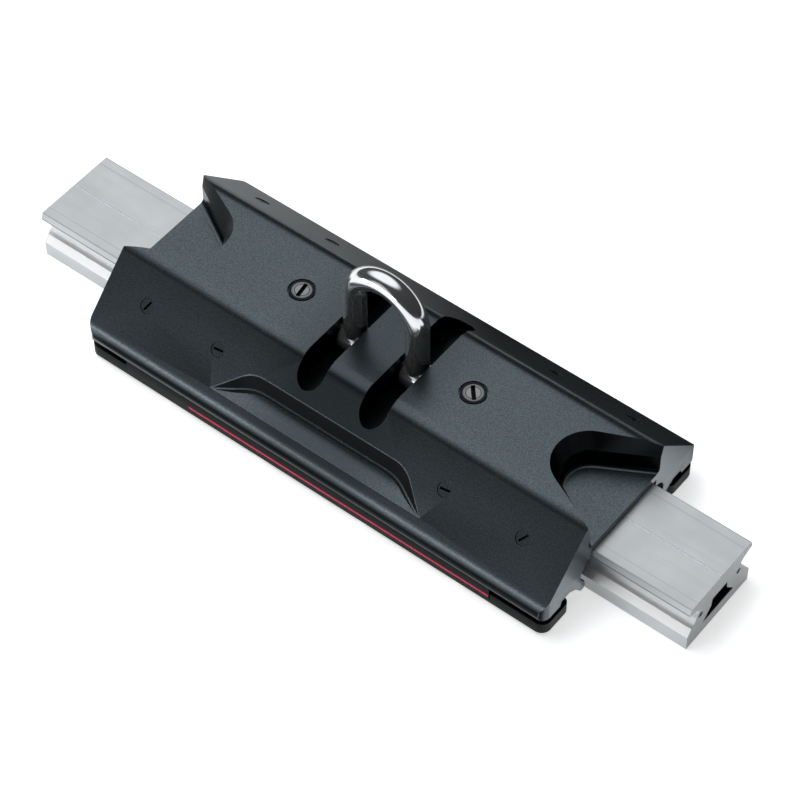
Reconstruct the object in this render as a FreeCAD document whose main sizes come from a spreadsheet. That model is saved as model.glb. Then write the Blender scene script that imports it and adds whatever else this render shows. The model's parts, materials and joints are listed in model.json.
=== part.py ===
import FreeCAD, Part
import os
import re
import Sketcher

# Mainsheet traveller car on a length of T track.
# Frame: X along the track, +Z up, origin under the car's middle at the track's foot.
# Front is the side with the scoop, at negative Y.  All sizes are in millimetres.

os.makedirs("parts", exist_ok=True)
document = FreeCAD.newDocument("TravellerCar")
sheet = document.addObject("Spreadsheet::Sheet", "Sizes")

FRONT = -1
BACK = 1
ENDS = (-1, 1)

# Independent sizes: each is stated once and drives every feature that uses it.
SIZES = {
    "track_right": 170.9,
    "track_left": 177.5,
    "track_height": 26.5,
    "track_lip_half": 22.3,
    "track_lip_bevel": 1.0,
    "track_lip_drop": 3.5,
    "waist_inset": 8.9,
    "waist_drop": 6.7,
    "waist_round": 2.5,
    "flange_inset": 0.1,
    "flange_drop": 19.0,
    "track_groove_gap": 0.15,
    "chamber_top_half": 5.3,
    "chamber_top_drop": 10.0,
    "chamber_knee_half": 5.8,
    "chamber_knee_drop": 14.3,
    "chamber_floor_half": 11.0,
    "chamber_floor_drop": 20.35,
    "line_width": 0.9,
    "line_depth": 0.3,
    "splice_hole": 3.0,
    "splice_inset": 8.7,
    "splice_drop": 11.6,
    "splice_depth": 22.0,
    "deck_hole": 8.4,
    "deck_sink": 16.0,
    "deck_pitch": 100.0,
    "car_half": 122.8,
    "return_pitch": 17.25,
    "nose_reach": 14.35,
    "car_corner": 4.4,
    "car_top": 48.1,
    "shoulder_inset": 29.53,
    "shoulder_round": 10.0,
    "nose_round": 8.8,
    "nose_tuck": 0.47,
    "nose_lean": 0.19,
    "wing_bottom": 11.5,
    "wing_step_reach": 3.1,
    "wing_step_run": 1.0,
    "wing_step_rise": 2.5,
    "leg_root_inset": 3.2,
    "leg_knee_reach": 9.65,
    "leg_knee_height": 11.2,
    "leg_tip_outer_reach": 5.75,
    "leg_tip_inner_reach": 3.85,
    "leg_tip_height": 6.0,
    "leg_inner_reach": 2.95,
    "leg_inner_height": 7.4,
    "lip_gap": 0.6,
    "roof_gap": 0.9,
    "plate_thickness": 3.6,
    "ball_size": 12.0,
    "ball_row_outset": 0.45,
    "ball_height": 16.4,
    "ball_pitch": 24.0,
    "groove_round": 6.4,
    "groove_relief": 0.12,
    "groove_shrink": 0.64,
    "groove_mouth_rise": 5.63,
    "groove_lip_angle": 50.0,
    "race_end_lead": 8.0,
    "race_crown_start": 3.1,
    "race_crown_height": 29.5,
    "race_crown_reach": 6.4,
    "race_corner_reach": 10.4,
    "race_back_reach": 7.4,
    "race_foot_height": 11.3,
    "race_inner_reach": 2.3,
    "guide_length": 17.5,
    "guide_reach": 6.9,
    "guide_roof": 23.1,
    "guide_bottom": 8.2,
    "seat_gap": 0.3,
    "recess_ridge": 40.4,
    "recess_wall_inset": 42.9,
    "recess_wall_spread": 0.58,
    "recess_wall_round": 13.2,
    "recess_rim_inset": 56.9,
    "recess_rim_spread": 0.47,
    "recess_rim_round": 16.7,
    "recess_foot_round": 2.0,
    "recess_overrun": 10.0,
    "slot_half_spacing": 16.5,
    "slot_width": 13.0,
    "slot_half_reach": 35.5,
    "slot_floor": 32.5,
    "eye_window_half": 8.0,
    "axle_height": 37.3,
    "axle_size": 9.0,
    "axle_overhang": 8.45,
    "axle_chamfer": 0.8,
    "running_gap": 0.05,
    "keeper_end": 2.0,
    "keeper_half_width": 15.0,
    "keeper_thickness": 2.4,
    "keeper_round": 4.0,
    "saddle_inner": 26.0,
    "saddle_drop": 1.5,
    "saddle_middle_half": 8.5,
    "bar_size": 10.5,
    "arch_height": 67.3,
    "eye_size": 14.0,
    "eye_width": 11.6,
    "eye_round": 1.5,
    "keeper_screw_half": 45.55,
    "keeper_head": 7.6,
    "keeper_rim": 0.5,
    "keeper_shank": 5.0,
    "keeper_slot_width": 1.9,
    "keeper_slot_depth": 1.3,
    "cup_size": 11.4,
    "cup_height": 3.4,
    "cup_ring_gap": 0.6,
    "cup_ring_depth": 1.2,
    "race_screw_inner": 60.37,
    "race_screw_inset": 22.8,
    "race_screw_shift": 4.5,
    "race_head": 6.8,
    "race_head_height": 2.6,
    "race_head_gap": 0.15,
    "race_head_sink": 0.4,
    "race_shank": 4.0,
    "race_screw_grip": 4.416,
    "race_slot_width": 1.0,
    "race_slot_length": 4.9,
    "race_slot_depth": 1.1,
    "scoop_top": 19.64,
    "scoop_foot": 35.34,
    "scoop_half": 40.9,
    "scoop_lean": 1.026,
    "scoop_wall_run": 2.03,
    "scoop_depth": 3.0,
    "scoop_dish_extra": 0.6,
    "scoop_ledge": 0.9,
    "scoop_ledge_sweep": 60.0,
    "scoop_dish_sweep": 14.0,
    "scoop_corner": 34.0,
    "scoop_rise": 1.5,
    "scoop_sink": 1.0,
    "scoop_overrun": 8.0,
    "cover_inner_inset": 4.0,
    "cover_side_inset": 0.75,
    "cover_bottom": 1.9,
    "cover_top": 7.8,
    "cover_end_gap": 0.05,
    "cover_corner_outer": 4.5,
    "cover_corner_inner": 3.0,
    "land_left_inset": 21.9,
    "land_right_inset": 27.9,
    "land_inner_inset": 3.6,
    "land_step_gap": 0.4,
    "strip_inner_inset": 1.95,
    "strip_outer_inset": 0.45,
    "strip_bottom": 4.3,
    "strip_top": 11.1,
    "strip_round": 0.4,
    "cover_screw_inset": 4.75,
    "cover_screw_inner": 28.0,
    "cover_screw_outer": 78.0,
    "cover_head": 7.0,
    "cover_rim": 0.4,
    "cover_shank": 4.0,
    "cover_screw_length": 15.0,
    "cover_tap_extra": 1.0,
    "rebate_overrun": 1.0,
    "fit_gap": 0.1,
}

# Sizes that follow from the ones above.
DERIVED = {
    "track_top_half": "track_lip_half - track_lip_bevel",
    "waist_half": "track_lip_half - waist_inset",
    "flange_half": "track_lip_half - flange_inset",
    "splice_half": "track_lip_half - splice_inset",
    "channel_half": "track_lip_half + lip_gap",
    "channel_roof": "track_height + roof_gap",
    "ball_row": "track_lip_half + ball_row_outset",
    "return_row": "ball_row + return_pitch",
    "car_half_width": "return_row + nose_reach",
    "shoulder_half": "car_half_width - shoulder_inset",
    "slope_sum": "car_top + shoulder_half",
    "wing_step_height": "wing_bottom + wing_step_rise",
    "wing_step_outer": "return_row + wing_step_reach",
    "wing_step_inner": "wing_step_outer - wing_step_run",
    "leg_root": "return_row - leg_root_inset",
    "leg_knee_half": "ball_row + leg_knee_reach",
    "leg_tip_outer": "ball_row + leg_tip_outer_reach",
    "leg_tip_inner": "ball_row + leg_tip_inner_reach",
    "leg_inner_half": "ball_row + leg_inner_reach",
    "nose_foot": "car_half_width - nose_tuck",
    "nose_corner_height": "(slope_sum - nose_foot + nose_lean * wing_bottom) / (1 + nose_lean)",
    "nose_corner_half": "slope_sum - nose_corner_height",
    "recess_floor": "channel_roof + plate_thickness",
    "race_crown_half": "channel_half + race_crown_start",
    "race_crown_end": "channel_half + race_crown_reach",
    "race_corner_half": "channel_half + race_corner_reach",
    "race_back_half": "channel_half + race_back_reach",
    "race_inner_half": "channel_half + race_inner_reach",
    "groove_lip_half": "ball_row + (groove_round - groove_shrink) * cos(groove_lip_angle)",
    "groove_lip_height": "ball_height - (groove_round - groove_shrink) * sin(groove_lip_angle)",
    "race_corner_height": "race_crown_height + race_crown_end - race_corner_half",
    "race_notch_height": "race_corner_height - race_corner_half + race_back_half",
    "guide_outer_half": "return_row + guide_reach",
    "turn_half": "(return_row + ball_row) / 2",
    "turn_round": "(return_row - ball_row) / 2",
    "slot_round": "slot_width / 2",
    "slot_straight": "slot_half_reach - slot_round",
    "keeper_length": "car_top - channel_roof - fit_gap",
    "race_screw_outer": "car_half - race_screw_inset",
    "race_half": "race_screw_outer - race_end_lead",
    "recess_wall_apex": "car_half - recess_wall_inset",
    "recess_rim_apex": "car_half - recess_rim_inset",
    "cover_inner": "return_row - cover_inner_inset",
    "cover_outer": "car_half_width - cover_side_inset",
    "cover_screw_row": "car_half_width - cover_screw_inset",
    "strip_inner": "car_half_width - strip_inner_inset",
    "strip_outer": "car_half_width - strip_outer_inset",
    "land_inner": "return_row - land_inner_inset",
    "land_step": "guide_outer_half + land_step_gap",
    "land_left": "car_half - land_left_inset",
    "land_right": "car_half - land_right_inset",
    "axle_half": "keeper_screw_half + axle_overhang",
    "keeper_half": "axle_half + keeper_end",
    "race_screw_offset": "race_crown_end - race_crown_height + race_screw_shift",
    "race_screw_length": "(slope_sum - race_crown_height - race_crown_end) / sqrt(2) + race_screw_grip",
    "race_screw_half": "(slope_sum + race_screw_offset) / 2",
    "race_screw_height": "(slope_sum - race_screw_offset) / 2",
    "scoop_widen": "sqrt(1 + scoop_lean ^ 2) / scoop_lean",
}

# How far each screw's slot is turned, in degrees, from left to right.
TURNS_KEEPER = (99.0, 131.0)
TURNS_FRONT = (68.0, 7.0, 9.0, 56.0)
TURNS_BACK = (70.0, 20.0, 155.0, 100.0)

# How many balls stand in each run.
LOAD_BALLS = 8
RETURN_BALLS = 7

for row, (name, number) in enumerate(SIZES.items(), 1):
    sheet.set("A%d" % row, name.replace("_", " "))
    sheet.set("B%d" % row, str(number))
    sheet.setAlias("B%d" % row, name)
for row, (name, formula) in enumerate(DERIVED.items(), len(SIZES) + 2):
    sheet.set("A%d" % row, name.replace("_", " "))
    sheet.set("B%d" % row, "=" + formula)
    sheet.setAlias("B%d" % row, name)
document.recompute()

probe = document.addObject("App::FeaturePython", "Probe")
WORDS = re.compile(r"[a-z_]+")


def bound(formula):
    """Point each size name in a formula at the sheet."""
    def swap(match):
        word = match.group()
        known = word in SIZES or word in DERIVED
        return "Sizes." + word if known else word
    return WORDS.sub(swap, str(formula))


def size(formula):
    """Value of a formula at the sheet's present sizes."""
    return float(probe.evalExpression(bound(formula)))


def bind(target, prop, formula):
    """Drive one property by a formula of sheet sizes."""
    target.setExpression(prop, bound(formula))


def new_body(name):
    """Start the body of one sub-part."""
    body = document.addObject("PartDesign::Body", name)
    body.Label = name
    return body


def plane_of(body, role):
    """One of the body's own origin planes."""
    return [item for item in body.Origin.OriginFeatures if item.Role == role][0]


def new_sketch(body, name, role, lift=None):
    """Empty sketch on an origin plane, lifted along its normal by a formula."""
    sketch = body.newObject("Sketcher::SketchObject", name)
    sketch.AttachmentSupport = (plane_of(body, role), [""])
    sketch.MapMode = "FlatFace"
    if lift is not None:
        bind(sketch, "AttachmentOffset.Base.z", lift)
    return sketch


def pin_point(sketch, geometry, point, u, v):
    """Hold one sketch point at a pair of formulas."""
    for kind, formula, axis in (("DistanceX", u, -2), ("DistanceY", v, -1)):
        number = size(formula)
        if abs(number) < 1e-9:
            sketch.addConstraint(Sketcher.Constraint("PointOnObject", geometry, point, axis))
            continue
        index = sketch.addConstraint(Sketcher.Constraint(kind, -1, 1, geometry, point, number))
        title = "%s_%d_%d" % (kind, geometry, point)
        sketch.renameConstraint(index, title)
        bind(sketch, "Constraints." + title, formula)


def polygon(sketch, corners):
    """Closed outline whose corners are pairs of formulas."""
    first = sketch.GeometryCount
    count = len(corners)
    points = [FreeCAD.Vector(size(u), size(v), 0) for u, v in corners]
    for index in range(count):
        line = Part.LineSegment(points[index], points[(index + 1) % count])
        sketch.addGeometry(line, False)
    for index in range(count):
        follower = first + (index + 1) % count
        sketch.addConstraint(Sketcher.Constraint("Coincident", first + index, 2, follower, 1))
    for index, (u, v) in enumerate(corners):
        pin_point(sketch, first + index, 1, u, v)


def rectangle(sketch, left, low, right, high):
    """Upright rectangle between two corners given as formulas."""
    polygon(sketch, [(left, low), (right, low), (right, high), (left, high)])


def circle(sketch, u, v, radius):
    """Circle with its centre and radius given as formulas."""
    centre = FreeCAD.Vector(size(u), size(v), 0)
    normal = FreeCAD.Vector(0, 0, 1)
    index = sketch.addGeometry(Part.Circle(centre, normal, size(radius)), False)
    pin_point(sketch, index, 3, u, v)
    title = "Radius_%d" % index
    place = sketch.addConstraint(Sketcher.Constraint("Radius", index, size(radius)))
    sketch.renameConstraint(place, title)
    bind(sketch, "Constraints." + title, radius)


def feature(body, kind, name, sketch):
    """Sketch-based feature that becomes the body's tip."""
    item = body.newObject(kind, name)
    item.Profile = sketch
    sketch.Visibility = False
    body.Tip = item
    return item


def pad(body, name, sketch, length, middle=False, flipped=False):
    """Add material along the sketch's normal."""
    item = feature(body, "PartDesign::Pad", name, sketch)
    bind(item, "Length", length)
    item.Midplane = middle
    item.Reversed = flipped
    return item


def pocket(body, name, sketch, depth, middle=False, flipped=False):
    """Take material away against the sketch's normal, and make sure some goes."""
    document.recompute()
    before = body.Shape.Volume
    item = feature(body, "PartDesign::Pocket", name, sketch)
    bind(item, "Length", depth)
    item.Midplane = middle
    item.Reversed = flipped
    document.recompute()
    if body.Shape.Volume > before - 1e-3:
        raise ValueError(body.Name + ": " + name + " cuts nothing")
    return item


def edge_names(shape, test):
    """Names of the edges a test picks."""
    return ["Edge%d" % (i + 1) for i, edge in enumerate(shape.Edges) if test(edge)]


def dress(body, kind, name, test, prop, formula):
    """Fillet or chamfer the edges a test picks on the body's present tip."""
    document.recompute()
    base = body.Tip
    names = edge_names(base.Shape, test)
    if not names:
        raise ValueError(body.Name + ": no edge for " + name)
    item = body.newObject(kind, name)
    item.Base = (base, names)
    bind(item, prop, formula)
    body.Tip = item
    document.recompute()
    return item


def fillet(body, name, test, radius):
    """Round the edges a test picks."""
    return dress(body, "PartDesign::Fillet", name, test, "Radius", radius)


def chamfer(body, name, test, width):
    """Bevel the edges a test picks."""
    return dress(body, "PartDesign::Chamfer", name, test, "Size", width)


def close(value, formula, slack=0.02):
    """True where a measured number equals a formula's value."""
    return abs(value - size(formula)) < slack


def runs_along(edge, axis):
    """True for a straight edge along one axis, 0 for X, 1 for Y, 2 for Z."""
    if edge.Curve.TypeId != "Part::GeomLine":
        return False
    step = edge.Vertexes[-1].Point - edge.Vertexes[0].Point
    return all(abs(step[other]) < 1e-6 for other in range(3) if other != axis)


def lengthwise_at(half, height):
    """Test for edges along X at a distance from the middle plane and a height."""
    def test(edge):
        centre = edge.CenterOfMass
        return runs_along(edge, 0) and close(abs(centre.y), half) and close(centre.z, height)
    return test


def place(item, x=0, y=0, z=0, turn=None):
    """Put an item at a point given as formulas, turned by a rotation."""
    rotation = turn or FreeCAD.Rotation()
    base = FreeCAD.Vector(size(x), size(y), size(z))
    item.Placement = FreeCAD.Placement(base, rotation)
    for axis, formula in (("x", x), ("y", y), ("z", z)):
        bind(item, "Placement.Base." + axis, formula)
    return item


def rod(name, radius, length, x, y, z, turn=None):
    """Plain cylinder from a point along its own axis."""
    item = document.addObject("Part::Cylinder", name)
    bind(item, "Radius", radius)
    bind(item, "Height", length)
    return place(item, x, y, z, turn)


def drilled(label, base, tools):
    """The base with every tool taken out of it."""
    group = tools[0]
    if len(tools) > 1:
        group = document.addObject("Part::MultiFuse", label + "_tools")
        group.Shapes = tools
    result = document.addObject("Part::Cut", label + "_finished")
    result.Base = base
    result.Tool = group
    base.Label = label + "_blank"
    result.Label = label
    return result


def grouped(label, members):
    """Several separate solids kept as one sub-part."""
    result = document.addObject("Part::Compound", label + "_set")
    result.Links = members
    result.Label = label
    return result


def mirrored(corners):
    """An outline of one half, closed by its mirror image across the vertical axis."""
    other = [("-(%s)" % u, v) for u, v in reversed(corners)]
    return corners + other


def sided(side, corners):
    """An outline moved to the front or the back."""
    return [("%d * (%s)" % (side, u), v) for u, v in corners]


def turn_from_up(side):
    """Rotation that tips the upward axis to a slope's outward normal."""
    return FreeCAD.Rotation(FreeCAD.Vector(0, 0, 1), FreeCAD.Vector(0, side, 1))


# Track: extruded T section with two ball grooves, a bolt chamber and a centre line.


def make_track():
    """Track with its deck bolt holes and splice pin holes."""
    body = new_body("track")
    section = new_sketch(body, "track_section", "YZ_Plane", "-track_left")
    half = [
        ("flange_half", "0"),
        ("flange_half", "track_height - flange_drop"),
        ("waist_half", "track_height - waist_drop"),
        ("track_lip_half", "track_height - track_lip_drop"),
        ("track_top_half", "track_height"),
    ]
    polygon(section, mirrored(half))
    pad(body, "track_run", section, "track_left + track_right")
    waist = lengthwise_at("waist_half", "track_height - waist_drop")
    fillet(body, "waist_rounds", waist, "waist_round")
    chamber = new_sketch(body, "chamber_section", "YZ_Plane", "-track_left")
    inner = [
        ("chamber_floor_half", "track_height - chamber_floor_drop"),
        ("chamber_knee_half", "track_height - chamber_knee_drop"),
        ("chamber_top_half", "track_height - chamber_top_drop"),
    ]
    polygon(chamber, mirrored(inner))
    pocket(body, "chamber", chamber, "track_left + track_right", flipped=True)
    for end, lift in ((-1, "-track_left"), (1, "track_right")):
        pins = new_sketch(body, "splice_holes_%d" % (end + 1), "YZ_Plane", lift)
        for hand in (-1, 1):
            circle(pins, "%d * splice_half" % hand, "track_height - splice_drop", "splice_hole / 2")
        pocket(body, "splice_%d" % (end + 1), pins, "splice_depth", flipped=end < 0)
    holes = new_sketch(body, "deck_hole_row", "XY_Plane", "track_height")
    for step in (-1, 0, 1):
        circle(holes, "%d * deck_pitch" % step, "0", "deck_hole / 2")
    pocket(body, "deck_holes", holes, "track_height")

    def sink_edge(edge):
        rim = edge.Curve.TypeId == "Part::GeomCircle" and close(edge.CenterOfMass.z, "track_height")
        return rim and close(edge.Curve.Radius, "deck_hole / 2")
    chamfer(body, "deck_sinks", sink_edge, "(deck_sink - deck_hole) / 2")
    rows = new_sketch(body, "ball_row_section", "YZ_Plane", "-track_left")
    for side in (FRONT, BACK):
        circle(rows, "%d * ball_row" % side, "ball_height", "ball_size / 2 + track_groove_gap")
    pocket(body, "ball_rows", rows, "track_left + track_right", flipped=True)
    line = new_sketch(body, "centre_line_section", "YZ_Plane", "-track_left")
    polygon(line, [
        ("-line_width / 2", "track_height"),
        ("0", "track_height - line_depth"),
        ("line_width / 2", "track_height"),
    ])
    pocket(body, "centre_line", line, "track_left + track_right", flipped=True)
    return body


# Car body: one machined block with slopes, legs, ball grooves, slots and recesses.


def wedge_sketch(body, name, lift, apex, spread, radius, reach):
    """Rounded wedge, open end outward, for one level of an end recess."""
    sketch = new_sketch(body, name, "XY_Plane", lift)
    run = size(spread)
    sine = run / (1 + run ** 2) ** 0.5
    cosine = 1 / (1 + run ** 2) ** 0.5
    bend = size(radius)
    middle = size(apex) + bend / sine
    start = FreeCAD.Vector(middle - bend * sine, bend * cosine, 0)
    finish = FreeCAD.Vector(middle - bend * sine, -bend * cosine, 0)
    tip = FreeCAD.Vector(middle - bend, 0, 0)
    far = size(reach)
    wide = run * (far - size(apex))
    sketch.addGeometry(Part.Arc(start, tip, finish), False)
    sketch.addGeometry(Part.LineSegment(finish, FreeCAD.Vector(far, -wide, 0)), False)
    sketch.addGeometry(Part.LineSegment(FreeCAD.Vector(far, -wide, 0), FreeCAD.Vector(far, wide, 0)), False)
    sketch.addGeometry(Part.LineSegment(FreeCAD.Vector(far, wide, 0), start), False)
    sketch.addConstraint(Sketcher.Constraint("Coincident", 1, 2, 2, 1))
    sketch.addConstraint(Sketcher.Constraint("Coincident", 2, 2, 3, 1))
    sketch.addConstraint(Sketcher.Constraint("Tangent", 0, 2, 1, 1))
    sketch.addConstraint(Sketcher.Constraint("Tangent", 3, 2, 0, 1))
    sketch.addConstraint(Sketcher.Constraint("PointOnObject", 0, 3, -1))
    bend_place = sketch.addConstraint(Sketcher.Constraint("Radius", 0, bend))
    sketch.renameConstraint(bend_place, "Bend")
    bind(sketch, "Constraints.Bend", radius)
    width = "(%s) * ((%s) - (%s))" % (spread, reach, apex)
    pin_point(sketch, 2, 1, reach, "-(%s)" % width)
    pin_point(sketch, 2, 2, reach, width)
    return sketch


def make_end_recess(end):
    """Solid that hollows out the rounded V at one end: upright wall below, leaning wall above."""
    body = new_body("end_recess_%s" % ("right" if end > 0 else "left"))
    reach = "car_half + recess_overrun"
    wall = ("recess_wall_apex", "recess_wall_spread", "recess_wall_round")
    rim = ("recess_rim_apex", "recess_rim_spread", "recess_rim_round")
    low = wedge_sketch(body, "recess_low", "recess_floor", *wall, reach)
    pad(body, "recess_wall", low, "recess_ridge - recess_floor")

    def foot(edge):
        box = edge.BoundBox
        return close(box.ZMin, "recess_floor") and close(box.ZMax, "recess_floor") and not close(box.XMin, reach)
    fillet(body, "recess_foot", foot, "recess_foot_round")
    ridge = wedge_sketch(body, "recess_middle", "recess_ridge", *wall, reach)
    high = wedge_sketch(body, "recess_high", "car_top", *rim, reach)
    loft = feature(body, "PartDesign::AdditiveLoft", "recess_lean", ridge)
    loft.Sections = [high]
    loft.Ruled = True
    above = wedge_sketch(body, "recess_above", "car_top", *rim, reach)
    pad(body, "recess_air", above, "recess_overrun")
    if end < 0:
        body.Placement = FreeCAD.Placement(
            FreeCAD.Vector(0, 0, 0), FreeCAD.Rotation(FreeCAD.Vector(0, 0, 1), 180))
    return body


def make_plan():
    """Plan of the car with its rounded corners, as tall as the car."""
    body = new_body("car_plan")
    outline = new_sketch(body, "car_plan_outline", "XY_Plane")
    rectangle(outline, "-car_half", "-car_half_width", "car_half", "car_half_width")
    pad(body, "car_plan_height", outline, "car_top + recess_overrun")

    def upright(edge):
        return runs_along(edge, 2)
    fillet(body, "car_corners", upright, "car_corner")
    return body


def make_scoop_layer(name, inset, depth, sweep, corner):
    """One layer of the front scoop: sloped walls over a floor that sweeps up to its foot."""
    body = new_body(name + "_walls")
    above = "scoop_rise"
    below = "-(scoop_depth + scoop_dish_extra + scoop_sink)"
    sketches = []
    for level, height in (("outer", above), ("inner", below)):
        grow = "(scoop_wall_run * (%s) - (%s))" % (height, inset)
        sketch = new_sketch(body, name + "_" + level, "XY_Plane", height)
        top = "scoop_top - " + grow
        top_half = "scoop_half - %s / scoop_lean + %s * scoop_widen" % (grow, grow)
        low = "scoop_foot + scoop_overrun"
        reach = "(scoop_foot + scoop_overrun - scoop_top) / scoop_lean"
        low_half = "scoop_half + %s + %s * scoop_widen" % (reach, grow)
        polygon(sketch, [
            ("-(%s)" % top_half, top),
            (top_half, top),
            (low_half, low),
            ("-(%s)" % low_half, low),
        ])
        sketches.append(sketch)
    loft = feature(body, "PartDesign::AdditiveLoft", name + "_loft", sketches[0])
    loft.Sections = [sketches[1]]
    loft.Ruled = True
    document.recompute()

    def wall_corner(edge):
        points = [vertex.Point for vertex in edge.Vertexes]
        rises = abs(points[0].z - points[-1].z) > 1
        return rises and max(point.y for point in points) < size("scoop_foot")
    fillet(body, name + "_corners", wall_corner, corner)
    floor = document.addObject("Part::Cylinder", name + "_floor")
    bind(floor, "Radius", sweep)
    bind(floor, "Height", "4 * scoop_half")
    run = "(scoop_foot - scoop_top - scoop_wall_run * (%s))" % depth
    chord = "sqrt(%s ^ 2 + (%s) ^ 2)" % (run, depth)
    rise = "sqrt((%s) ^ 2 - (%s) ^ 2 / 4)" % (sweep, chord)
    centre_v = "scoop_foot - %s / 2 - (%s) / %s * %s" % (run, depth, chord, rise)
    centre_w = "-(%s) / 2 + %s / %s * %s" % (depth, run, chord, rise)
    along_x = FreeCAD.Rotation(FreeCAD.Vector(0, 1, 0), 90)
    place(floor, "-2 * scoop_half", centre_v, centre_w, along_x)
    layer = document.addObject("Part::Common", name)
    layer.Base = body
    layer.Tool = floor
    return layer


def make_scoop():
    """Scoop of the front slope: a ledge layer and a dished layer inside it."""
    ledge = make_scoop_layer("scoop_ledge_layer", "0", "scoop_depth", "scoop_ledge_sweep", "scoop_corner")
    dish = make_scoop_layer("scoop_dish_layer", "scoop_ledge", "scoop_depth + scoop_dish_extra",
                            "scoop_dish_sweep", "scoop_corner - scoop_ledge")
    both = document.addObject("Part::MultiFuse", "scoop")
    both.Shapes = [ledge, dish]
    across = FreeCAD.Vector(-1, 0, 0)
    down = FreeCAD.Vector(0, FRONT, -1).normalize()
    out = FreeCAD.Vector(0, FRONT, 1).normalize()
    return place(both, "0", "-shoulder_half", "car_top", FreeCAD.Rotation(across, down, out, "XYZ"))


def race_outline(side):
    """Section of a race insert before its ball groove."""
    return sided(side, [
        ("channel_half", "channel_roof"),
        ("race_crown_half", "race_crown_height"),
        ("race_crown_end", "race_crown_height"),
        ("race_corner_half", "race_corner_height"),
        ("race_back_half", "race_notch_height"),
        ("race_back_half", "race_foot_height"),
        ("race_inner_half", "race_foot_height"),
        ("channel_half", "ball_height + groove_mouth_rise"),
    ])


def guide_outline(side, gap):
    """Section of a return guide, or with a gap of the pocket that takes it."""
    return sided(side, [
        ("channel_half", "channel_roof"),
        ("race_crown_half", "race_crown_height"),
        ("race_crown_end", "race_crown_height"),
        ("race_corner_half", "race_corner_height"),
        ("race_corner_half", "guide_roof"),
        ("guide_outer_half + " + gap, "guide_roof"),
        ("guide_outer_half + " + gap, "guide_bottom"),
    ])


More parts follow.
